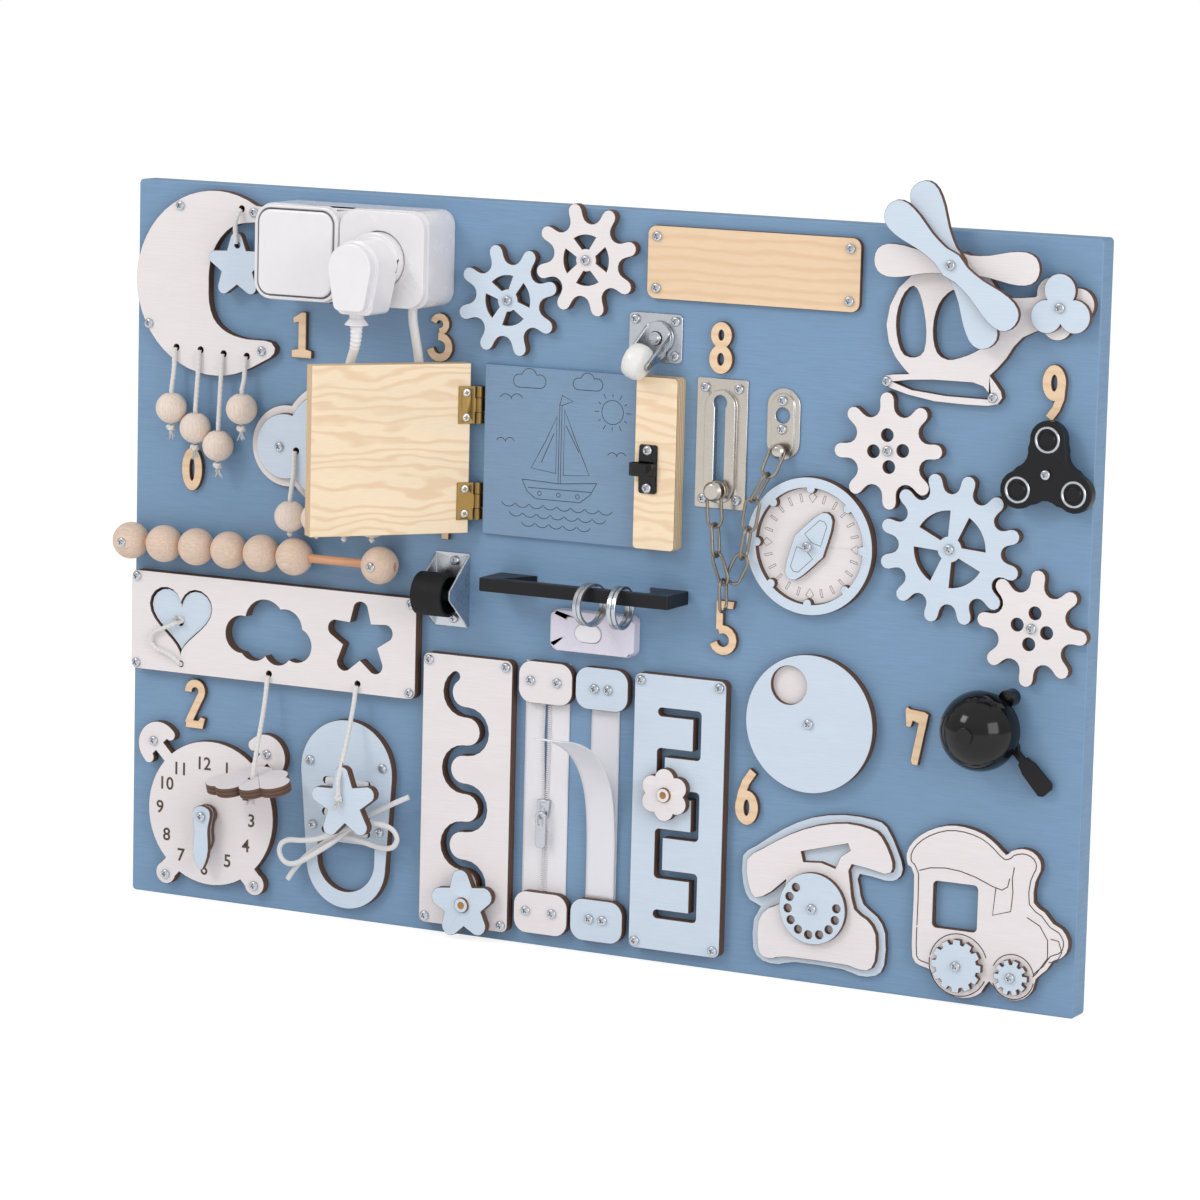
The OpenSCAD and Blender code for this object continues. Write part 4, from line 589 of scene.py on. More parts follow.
def solids(faces: Iterable) -> list[Island]:
    """Splits faces into closed solids, largest surface first."""
    seen: set = set()
    found: list[Island] = []
    for start in faces:
        if start in seen:
            continue
        seen.add(start)
        stack, group = [start], []
        while stack:
            face = stack.pop()
            group.append(face)
            for edge in face.edges:
                if len(edge.link_faces) == 2:
                    for other in edge.link_faces:
                        if other not in seen:
                            seen.add(other)
                            stack.append(other)
        spots = [on_board(v.co) for f in group for v in f.verts]
        low = Vector([min(p[i] for p in spots) for i in range(3)])
        high = Vector([max(p[i] for p in spots) for i in range(3)])
        found.append(Island(group, low, high, main_direction(group)))
    found.sort(key=lambda i: -sum(f.calc_area() for f in i.faces))
    return found


def plate_alone(bm: bmesh.types.BMesh, island: Island) -> list[Island]:
    """Takes off whatever stands out of a flat piece's thickness and closes its faces again."""
    n = island.normal
    levels: dict[float, float] = {}
    for face in island.faces:
        if abs(face.normal.dot(n)) > 0.995:
            d = round(face.calc_center_median().dot(n), 4)
            levels[d] = levels.get(d, 0.0) + face.calc_area()
    main = [d for d, area in levels.items() if area > 0.3 * max(levels.values())]
    low, high = min(main) - 1.5e-4, max(main) + 1.5e-4
    kept = set(island.faces)
    out = [f for f in bm.faces if f not in kept or any(not low < v.co.dot(n) < high for v in f.verts)]
    bmesh.ops.delete(bm, geom=out, context="FACES")
    rest = solids(bm.faces)[1:]
    bmesh.ops.delete(bm, geom=[f for i in rest for f in i.faces], context="FACES")
    bmesh.ops.holes_fill(bm, edges=[e for e in bm.edges if e.is_boundary], sides=0)
    bm.normal_update()
    return solids(bm.faces)[:1]


Choice = Callable[[Island], tuple[Look, Look] | None]


def take_over(node: str, choose: Choice, bevel: float = 0.3, segments: int = 1, largest: bool = False,
              over: tuple[float, Look] | None = None, cut: bool = False) -> bpy.types.Object:
    """Dresses a copy of a CAD node: its faces take one finish and its cut edges another.

    Args:
        node: The CAD node.
        choose: Gives an island's two finishes, or None to leave the island out.
        bevel: Width of the eased edges in millimetres, 0 for none.
        segments: Steps of that bevel.
        largest: Keeps the largest solid alone, without the cord that CAD joins to it.
        over: A height in millimetres and the finish of the faces over it.
        cut: Cuts faces with many corners to triangles before the edges are eased.

    Returns:
        The dressed piece.
    """
    bm, found = cad_islands(node)
    if largest:
        found = plate_alone(bm, found[0])
    uv = bm.loops.layers.uv.new(UV_NAME)
    looks: list[Look] = []
    gone = []
    edge_slot = 0
    for island in found:
        pair = choose(island)
        if pair is None:
            gone += island.faces
            continue
        for look in (*pair, over[1]) if over else pair:
            if look not in looks:
                looks.append(look)
        n = island.normal
        e1 = UP.cross(n)
        e1 = e1.normalized() if e1.length > 0.2 else Vector((1, 0, 0))
        e2 = n.cross(e1).normalized()
        floor = min(v.co.dot(n) for f in island.faces for v in f.verts)
        shift = Vector((island.centre.x * 0.013, island.centre.y * 0.017))
        for face in island.faces:
            flat = abs(face.normal.dot(n)) > 0.8
            raised = flat and over and on_board(face.calc_center_median()).z > over[0]
            face.material_index = looks.index(over[1] if raised else pair[0] if flat else pair[1])
            side = n.cross(face.normal).normalized() if not flat else e1
            for loop in face.loops:
                p = loop.vert.co
                loop[uv].uv = ((p.dot(e1) + shift.x, p.dot(e2) + shift.y) if flat
                               else (p.dot(n) - floor, p.dot(side)))
        edge_slot = edge_slot or looks.index(pair[1])
    if gone:
        bmesh.ops.delete(bm, geom=gone, context="FACES")
    bmesh.ops.dissolve_limit(bm, angle_limit=math.radians(0.4), verts=bm.verts[:], edges=bm.edges[:],
                             delimit={"MATERIAL"})
    if cut:
        bmesh.ops.triangulate(bm, faces=[f for f in bm.faces if len(f.verts) > 4])
    title = node + "_dressed"
    piece = show(title, to_mesh(title, bm), BODY[node], looks)
    if bevel:
        eased = piece.modifiers.new("eased", "BEVEL")
        eased.width = bevel * MM
        eased.segments = segments
        eased.limit_method = "ANGLE"
        eased.angle_limit = math.radians(42)
        eased.use_clamp_overlap = False
        eased.material = edge_slot if segments == 1 else -1
        eased.miter_outer = "MITER_ARC" if segments > 1 else "MITER_SHARP"
    stands_for(piece, node)
    return piece


def both(face: Look, edge: Look | None = None) -> Choice:
    """A choice that gives every island the same finishes."""
    return lambda island: (face, edge or face)


def lathe(profile: Sequence[Place], axis: Vector, centre: Vector, steps: int = 48) -> bmesh.types.BMesh:
    """Closed body turned round an axis.

    Args:
        profile: Closed outline as pairs of place along the axis and radius, in millimetres.
        axis: Direction of the axis.
        centre: Where the axis' zero is, in the row frame.
        steps: Segments round it.

    Returns:
        The turned body, with faces outward.
    """
    bm = bmesh.new()
    axis = axis.normalized()
    u = axis.orthogonal().normalized()
    v = axis.cross(u)
    rings = []
    for along, radius in profile:
        foot = centre + axis * along * MM
        if radius < 1e-6:
            rings.append([bm.verts.new(foot)])
        else:
            rings.append([bm.verts.new(foot + (u * math.cos(a) + v * math.sin(a)) * radius * MM)
                          for a in (2 * math.pi * k / steps for k in range(steps))])
    pairs = list(zip(rings, rings[1:]))
    if len(rings[0]) > 1 and len(rings[-1]) > 1:
        pairs.append((rings[-1], rings[0]))
    for a, b in pairs:
        for k in range(steps):
            m = (k + 1) % steps
            if len(a) == 1 and len(b) == 1:
                continue
            if len(a) == 1:
                bm.faces.new((a[0], b[k], b[m]))
            elif len(b) == 1:
                bm.faces.new((a[k], b[0], a[m]))
            else:
                bm.faces.new((a[k], b[k], b[m], a[m]))
    bmesh.ops.recalc_face_normals(bm, faces=bm.faces)
    return bm


def join(parts: Sequence[bmesh.types.BMesh]) -> bmesh.types.BMesh:
    """One bmesh of several, which are freed."""
    whole = bmesh.new()
    for part in parts:
        carrier = bpy.data.meshes.new("carrier")
        part.to_mesh(carrier)
        part.free()
        whole.from_mesh(carrier)
        bpy.data.meshes.remove(carrier)
    return whole


# ---------------------------------------------------------------- geometry nodes


class NodeTools:
    """Geometry Nodes trees of the small things that repeat, and their turning into meshes."""

    copies: bpy.types.NodeTree | None = None
    strokes: bpy.types.NodeTree | None = None

    @classmethod
    def copies_tree(cls) -> bpy.types.NodeTree:
        """Tree that sets a shape on each point, turned by the point's own attribute."""
        if cls.copies is None:
            tree = bpy.data.node_groups.new("set_copies", "GeometryNodeTree")
            face = tree.interface
            face.new_socket("Geometry", in_out="INPUT", socket_type="NodeSocketGeometry")
            for title, kind in (("Shape", "Object"), ("Finish", "Material"), ("Size", "Float"),
                                ("Loose Turn", "Float"), ("Seed", "Int")):
                face.new_socket(title, in_out="INPUT", socket_type="NodeSocket" + kind)
            face.new_socket("Geometry", in_out="OUTPUT", socket_type="NodeSocketGeometry")
            g = Graph(tree)
            i, o = g.add("NodeGroupInput"), g.add("NodeGroupOutput")
            shape = g.add("GeometryNodeObjectInfo", {"Object": i.outputs["Shape"]},
                          transform_space="ORIGINAL")
            turn = g.add("GeometryNodeInputNamedAttribute", {"Name": "turn"}, data_type="FLOAT_VECTOR")
            laid = g.add("FunctionNodeEulerToRotation", {0: turn.outputs[0]})
            loose = g.add("FunctionNodeRandomValue", {"Seed": i.outputs["Seed"]}, data_type="FLOAT")
            g.link(i.outputs["Loose Turn"], loose.inputs[3])
            about = g.add("ShaderNodeCombineXYZ", {2: loose.outputs[1]})
            spin = g.add("FunctionNodeEulerToRotation", {0: about.outputs[0]})
            whole = g.add("FunctionNodeRotateRotation", {0: laid.outputs[0], 1: spin.outputs[0]},
                          rotation_space="LOCAL")
            size = g.add("ShaderNodeCombineXYZ", {0: i.outputs["Size"], 1: i.outputs["Size"],
                                                  2: i.outputs["Size"]})
            placed = g.add("GeometryNodeInstanceOnPoints",
                           {"Points": i.outputs["Geometry"], "Instance": shape.outputs["Geometry"],
                            "Rotation": whole.outputs[0], "Scale": size.outputs[0]})
            real = g.add("GeometryNodeRealizeInstances", {0: placed.outputs[0]})
            clad = g.add("GeometryNodeSetMaterial", {"Geometry": real.outputs[0],
                                                     "Material": i.outputs["Finish"]})
            g.link(clad.outputs[0], o.inputs[0])
            cls.copies = tree
        return cls.copies

    @classmethod
    def strokes_tree(cls) -> bpy.types.NodeTree:
        """Tree that draws a fine round stroke along lines."""
        if cls.strokes is None:
            tree = bpy.data.node_groups.new("draw_strokes", "GeometryNodeTree")
            face = tree.interface
            face.new_socket("Geometry", in_out="INPUT", socket_type="NodeSocketGeometry")
            for title, kind in (("Width", "Float"), ("Sides", "Int"), ("Finish", "Material")):
                face.new_socket(title, in_out="INPUT", socket_type="NodeSocket" + kind)
            face.new_socket("Geometry", in_out="OUTPUT", socket_type="NodeSocketGeometry")
            g = Graph(tree)
            i, o = g.add("NodeGroupInput"), g.add("NodeGroupOutput")
            line = g.add("GeometryNodeMeshToCurve", {0: i.outputs["Geometry"]})
            half = g.maths("MULTIPLY", i.outputs["Width"], 0.5)
            ring = g.add("GeometryNodeCurvePrimitiveCircle", {"Resolution": i.outputs["Sides"]})
            g.link(half, ring.inputs["Radius"])
            tube = g.add("GeometryNodeCurveToMesh", {"Curve": line.outputs[0],
                                                     "Profile Curve": ring.outputs[0], "Fill Caps": True})
            real = g.add("GeometryNodeRealizeInstances", {0: tube.outputs[0]})
            clad = g.add("GeometryNodeSetMaterial", {"Geometry": real.outputs[0],
                                                     "Material": i.outputs["Finish"]})
            g.link(clad.outputs[0], o.inputs[0])
            cls.strokes = tree
        return cls.strokes

    @staticmethod
    def baked(name: str, source: bpy.types.Mesh, tree: bpy.types.NodeTree,
              values: dict[str, object]) -> bpy.types.Mesh:
        """Plain mesh that a tree makes of a source mesh.

        Args:
            name: Name of the new mesh.
            source: The points or lines that the tree starts from.
            tree: The Geometry Nodes tree.
            values: The tree's inputs by their names.

        Returns:
            The mesh, with no modifier behind it.
        """
        holder = in_scene(name + "_source", source)
        modifier = holder.modifiers.new("made", "NODES")
        modifier.node_group = tree
        for item in tree.interface.items_tree:
            if item.item_type == "SOCKET" and item.in_out == "INPUT" and item.name in values:
                modifier[item.identifier] = values[item.name]
        holder.update_tag()
        graph = bpy.context.evaluated_depsgraph_get()
        graph.update()
        mesh = bpy.data.meshes.new_from_object(holder.evaluated_get(graph),
                                               preserve_all_data_layers=True, depsgraph=graph)
        mesh.name = name
        holder.modifiers.clear()
        bpy.data.objects.remove(holder)
        return mesh


@dataclass
class Copies:
    """The same small shape set at many places, made with Geometry Nodes."""

    name: str
    body: str
    look: Look
    shape: Callable[[], bmesh.types.BMesh]
    spots: list[tuple[Vector, Matrix]] = field(default_factory=list)
    loose: float = 0.0
    seed: int = 3
    sharp: float = 35.0

    def facing_out(self, x: float, y: float, h: float, turn: float = 0.0) -> None:
        """Adds a place where the shape's own Z points away from the board."""
        self.spots.append((at(x, y, h), Matrix.Rotation(math.pi / 2, 3, "X")
                           @ Matrix.Rotation(math.radians(turn), 3, "Z")))

    def build(self) -> bpy.types.Object:
        """Makes the copies as one plain mesh on their body."""
        points = bpy.data.meshes.new(self.name + "_points")
        points.from_pydata([spot for spot, _ in self.spots], [], [])
        turn = points.attributes.new("turn", "FLOAT_VECTOR", "POINT")
        for number, (_, matrix) in enumerate(self.spots):
            turn.data[number].vector = Vector(matrix.to_euler("XYZ"))
        title = self.name + "_pattern"
        pattern = in_scene(title, to_mesh(title, self.shape()))
        mesh = NodeTools.baked(self.name, points, NodeTools.copies_tree(),
                               {"Shape": pattern, "Finish": self.look.made(), "Size": 1.0,
                                "Loose Turn": self.loose, "Seed": self.seed})
        bpy.data.objects.remove(pattern)
        return show(self.name, mesh, self.body, (), self.sharp)


@dataclass
class Strokes:
    """Fine lines half sunk in a face: lines burnt into it, and the painted shade in the gap round the rocker.
    """

    name: str
    body: str
    look: Look
    height: float
    width: float = 0.62
    lines: list[tuple[list[Place], bool]] = field(default_factory=list)

    def add(self, points: Sequence[Place], closed: bool = False) -> None:
        """Adds a line through board places."""
        self.lines.append((list(points), closed))

    def circle(self, centre: Place, radius: float, steps: int = 40) -> None:
        """Adds a circle."""
        self.add([polar(centre, radius, 360 * k / steps) for k in range(steps)], True)

    def arc(self, centre: Place, radius: float, start: float, end: float, steps: int = 16) -> None:
        """Adds a part of a circle."""
        self.add([polar(centre, radius, start + (end - start) * k / steps) for k in range(steps + 1)])

    def build(self) -> bpy.types.Object:
        """Draws the lines as one plain mesh on their body."""
        spots: list[Vector] = []
        edges: list[tuple[int, int]] = []
        for points, closed in self.lines:
            first = len(spots)
            spots += [at(x, y, self.height - self.width * 0.2) for x, y in points]
            edges += [(k, k + 1) for k in range(first, len(spots) - 1)]
            if closed:
                edges.append((len(spots) - 1, first))
        source = bpy.data.meshes.new(self.name + "_lines")
        source.from_pydata(spots, edges, [])
        mesh = NodeTools.baked(self.name, source, NodeTools.strokes_tree(),
                               {"Width": self.width * MM, "Sides": 6, "Finish": self.look.made()})
        if UV_NAME not in mesh.uv_layers:
            layer = mesh.uv_layers.new(name=UV_NAME)
            for loop, item in zip(mesh.loops, layer.data):
                p = mesh.vertices[loop.vertex_index].co
                item.uv = (p.x + p.z, p.y)
        return show(self.name, mesh, self.body)


# ---------------------------------------------------------------- cords


def smoothed(points: Sequence[Sequence[float]], step: float = 1.0) -> list[Vector]:
    """Points about a step apart on a smooth curve through the given ones.

    Args:
        points: Board places with heights, in millimetres.
        step: Distance between the new points.

    Returns:
        The points in board millimetres.
    """
    given = [Vector(p) for p in points]
    given = [2 * given[0] - given[1]] + given + [2 * given[-1] - given[-2]]
    out: list[Vector] = []
    for i in range(1, len(given) - 2):
        a, b, c, d = given[i - 1:i + 3]
        count = max(1, round((c - b).length / step))
        for k in range(count):
            t = k / count
            out.append(0.5 * (2 * b + (c - a) * t + (2 * a - 5 * b + 4 * c - d) * t * t
                              + (3 * b - a - 3 * c + d) * t ** 3))
    return out + [given[-2]]


@dataclass
class Thread:
    """A round or flat cord along a route, with its strands twisted round it."""

    name: str
    body: str
    route: Sequence[Sequence[float]]
    radius: float
    look: Look
    strands: int = 3
    pitch: float = 11.0
    relief: float = 0.2
    flat: float = 1.0
    sides: int = 14
    step: float = 0.9
    swell: Callable[[float], float] | None = None

    def centreline(self) -> list[Vector]:
        """The route's points in the row frame."""
        return [at(*p) for p in smoothed(self.route, self.step)]

    def build(self) -> tuple[bpy.types.Object, list[Vector], float]:
        """Makes the cord.

        Returns:
            The piece, the points that it follows, and its length in metres.
        """
        line = self.centreline()
        bm = bmesh.new()
        uv = bm.loops.layers.uv.new(UV_NAME)
        last = len(line) - 1
        tangents = [(line[min(i + 1, last)] - line[max(i - 1, 0)]).normalized() for i in range(last + 1)]
        side = OUT - tangents[0] * OUT.dot(tangents[0])
        side = side.normalized() if side.length > 0.2 else tangents[0].orthogonal().normalized()
        rings, runs, run = [], [], 0.0
        for i, (p, t) in enumerate(zip(line, tangents)):
            if i:
                run += (p - line[i - 1]).length
            side = (side - t * side.dot(t)).normalized()
            if self.flat < 1.0:
                wish = OUT - t * OUT.dot(t)
                if wish.length > 0.3:
                    side = (side * 0.8 + wish.normalized() * 0.2).normalized()
            across = t.cross(side)
            ring = []
            for k in range(self.sides):
                a = 2 * math.pi * k / self.sides
                lobe = abs(math.cos((a + 2 * math.pi * run / (self.pitch * MM)) * self.strands / 2))
                r = self.radius * MM * (1 - self.relief + self.relief * lobe)
                r *= self.swell(run * 1000) if self.swell else 1.0
                ring.append(bm.verts.new(p + side * math.cos(a) * r * self.flat + across * math.sin(a) * r))
            rings.append(ring)
            runs.append(run)
        around = 2 * math.pi * self.radius * MM
        for i in range(last):
            for k in range(self.sides):
                m = (k + 1) % self.sides
                face = bm.faces.new((rings[i][k], rings[i][m], rings[i + 1][m], rings[i + 1][k]))
                for loop, (j, q) in zip(face.loops, ((i, k), (i, k + 1), (i + 1, k + 1), (i + 1, k))):
                    loop[uv].uv = (q / self.sides * around, runs[j])
        bm.faces.new(list(reversed(rings[0])))
        bm.faces.new(rings[-1])
        bmesh.ops.recalc_face_normals(bm, faces=bm.faces)
        piece = show(self.name, to_mesh(self.name, bm), self.body, [self.look], 50.0)
        return piece, line, run

    def declare(self) -> bpy.types.Object:
        """Makes the cord and says what it is.


        Returns:
            The piece.
        """
        piece, line, length = self.build()
        log.info("%s: %.0f mm long, %.1f mm across", self.name, length * 1000, 2 * self.radius)
        return piece


def knot(name: str, body: str, place: Sequence[float], size: float, down: Vector,
         fray: float = 1.0) -> bpy.types.Object:
    """A tied end with a short frayed tuft under it.

    Args:
        name: The piece's name.
        body: The body that it rides on.
        place: Board place and height of its middle.
        size: Its radius in millimetres.
        down: Direction of the tuft in the row frame.
        fray: Length of the tuft against the usual one.

    Returns:
        The piece.
    """
    middle = at(*place)
    rng = random.Random(name)
    bm = bmesh.new()
    uv = bm.loops.layers.uv.new(UV_NAME)
    axis = down.normalized()
    e1 = axis.orthogonal().normalized()
    e2 = axis.cross(e1)

    def tube(points: list[Vector], radius: float, closed: bool, sides: int) -> None:
        """Adds one strand along points."""
        count = len(points)
        rings = []
        for i, p in enumerate(points):
            before = points[(i - 1) % count] if closed or i else p
            after = points[(i + 1) % count] if closed or i < count - 1 else p
            t = (after - before).normalized()
            u = (axis.cross(t) if abs(axis.dot(t)) < 0.9 else e1.cross(t)).normalized()
            v = t.cross(u)
            rings.append([bm.verts.new(p + (u * math.cos(a) + v * math.sin(a)) * radius)
                          for a in (2 * math.pi * k / sides for k in range(sides))])
        for i in range(count if closed else count - 1):
            for k in range(sides):
                m, n = (k + 1) % sides, (i + 1) % count
                face = bm.faces.new((rings[i][k], rings[i][m], rings[n][m], rings[n][k]))
                for loop, (a, b) in zip(face.loops, ((k, i), (k + 1, i), (k + 1, i + 1), (k, i + 1))):
                    loop[uv].uv = (a * MM, b * MM)
        if not closed:
            bm.faces.new(list(reversed(rings[0])))
            bm.faces.new(rings[-1])

    loop_line = []
    for k in range(48):
        t = 2 * math.pi * k / 48
        x, y, z = math.sin(t) + 2 * math.sin(2 * t), math.cos(t) - 2 * math.cos(2 * t), -math.sin(3 * t)
        loop_line.append(middle + (e1 * x + e2 * y + axis * z * 1.2) * size * 0.00022)
    tube(loop_line, size * 0.00040, True, 10)
    for _ in range(16):
        lean = e1 * rng.uniform(-1, 1) + e2 * rng.uniform(-1, 1)
        length = size * rng.uniform(0.0013, 0.0021) * fray
        start = middle + axis * size * 0.0004 + lean * size * 0.0002
        tube([start, start + axis * length * 0.5 + lean * length * 0.14,
              start + axis * length + lean * length * 0.45], 0.00028, False, 5)
    bmesh.ops.recalc_face_normals(bm, faces=bm.faces)
    return show(name, to_mesh(name, bm), body, [Look.COTTON], 60.0)


# ---------------------------------------------------------------- the studio


@dataclass
class Studio:
    """Camera, floor and lamps."""

    azimuth: float = 27.4
    elevation: float = 8.6
    roll: float = 1.42
    distance: float = 3.517
    target: Point = (0.0087, -0.018, -0.011)
    lens: float = 151.26
    floor_z: float = -0.2626
    glow_share: float = 0.62
    key_power: float = 26.0
    fill_power: float = 27.0

    def camera(self) -> None:
        """Sets the camera at the photograph's viewing angle."""
        a, e, r = (math.radians(v) for v in (self.azimuth, self.elevation, self.roll))
        back = Vector((math.sin(a) * math.cos(e), -math.cos(a) * math.cos(e), math.sin(e)))
        right = (-back).cross(Vector((0, 0, 1))).normalized()
        up = right.cross(-back).normalized()
        turned = right * math.cos(r) + up * math.sin(r)
        top = up * math.cos(r) - right * math.sin(r)
        data = bpy.data.cameras.new("view")
        data.lens, data.sensor_width = self.lens, 36.0
        data.clip_start, data.clip_end = 0.05, 50.0
        camera = in_scene("view", data)
        place = Vector(self.target) + back * self.distance
        matrix = Matrix((turned, top, back)).transposed().to_4x4()
        matrix.translation = place
        camera.matrix_world = matrix
        bpy.context.scene.camera = camera

    def white_for_camera(self, g: Graph, plain: bpy.types.NodeSocket, white: float) -> bpy.types.NodeSocket:
        """Shader that is plain white where the camera, metal or glass sees it."""
        path = g.add("ShaderNodeLightPath")
        seen = g.maths("MAXIMUM", path.outputs["Is Camera Ray"],
                       g.maths("MAXIMUM", path.outputs["Is Glossy Ray"], path.outputs["Is Transmission Ray"]))
        glow = g.add("ShaderNodeEmission", {"Color": (1, 1, 1, 1), "Strength": white})
        return g.add("ShaderNodeMixShader", {0: g.maths("MULTIPLY", seen, self.glow_share), 1: plain,
                                             2: glow.outputs[0]}).outputs[0]

    def floor(self) -> None:
        """Lays the pale floor just under the board."""
        mesh = bpy.data.meshes.new("floor")
        z = self.floor_z
        mesh.from_pydata([(-9, -6, z), (9, -6, z), (9, 14, z), (-9, 14, z)], [], [(0, 1, 2, 3)])
        made = bpy.data.materials.new("pale_floor")
        g = Graph.blank(made)
        plain = g.add("ShaderNodeBsdfDiffuse", {"Color": (0.9, 0.9, 0.9, 1)}).outputs[0]
        out = g.add("ShaderNodeOutputMaterial")
        g.link(self.white_for_camera(g, plain, 1.3), out.inputs["Surface"])
        mesh.materials.append(made)
        in_scene("floor", mesh)

    def lamp(self, name: str, place: Point, size: float, power: float) -> None:
        """Adds a soft square lamp that faces the origin."""
        data = bpy.data.lights.new(name, "AREA")
        data.size, data.energy = size, power
        lamp = in_scene(name, data)
        turn = (-Vector(place)).to_track_quat("-Z", "Y")
        lamp.matrix_world = Matrix.Translation(place) @ turn.to_matrix().to_4x4()

    def lights(self) -> None:
        """Lights the board softly from the upper left and lets the world fill the shade."""
        world = bpy.data.worlds.new("pale_room")
        bpy.context.scene.world = world
        g = Graph.blank(world)
        path = g.add("ShaderNodeLightPath")
        seen = g.maths("MAXIMUM", path.outputs["Is Camera Ray"], path.outputs["Is Transmission Ray"])
        way = g.add("ShaderNodeTexCoord").outputs["Generated"]
        brighter_way = (0.1, -0.35, 0.93)
        lean = g.add("ShaderNodeVectorMath", {0: way, 1: brighter_way}, operation="DOT_PRODUCT")
        room = g.span(lean.outputs[1], -0.9, 0.9, 0.26, 0.86)
        strength = g.maths("MAXIMUM", room, seen)
        back = g.add("ShaderNodeBackground", {"Color": (1, 1, 1, 1), "Strength": strength})
        out = g.add("ShaderNodeOutputWorld")
        g.link(back.outputs[0], out.inputs["Surface"])
        self.lamp("key", (-1.6, -2.6, 2.1), 1.1, self.key_power)
        self.lamp("fill", (2.9, -1.5, 0.8), 1.6, self.fill_power)

    def build(self) -> None:
        """Sets camera, floor and lamps."""
        bpy.context.scene.view_settings.view_transform = "Standard"
        self.camera()
        self.floor()
        self.lights()


# ---------------------------------------------------------------- cords of the board


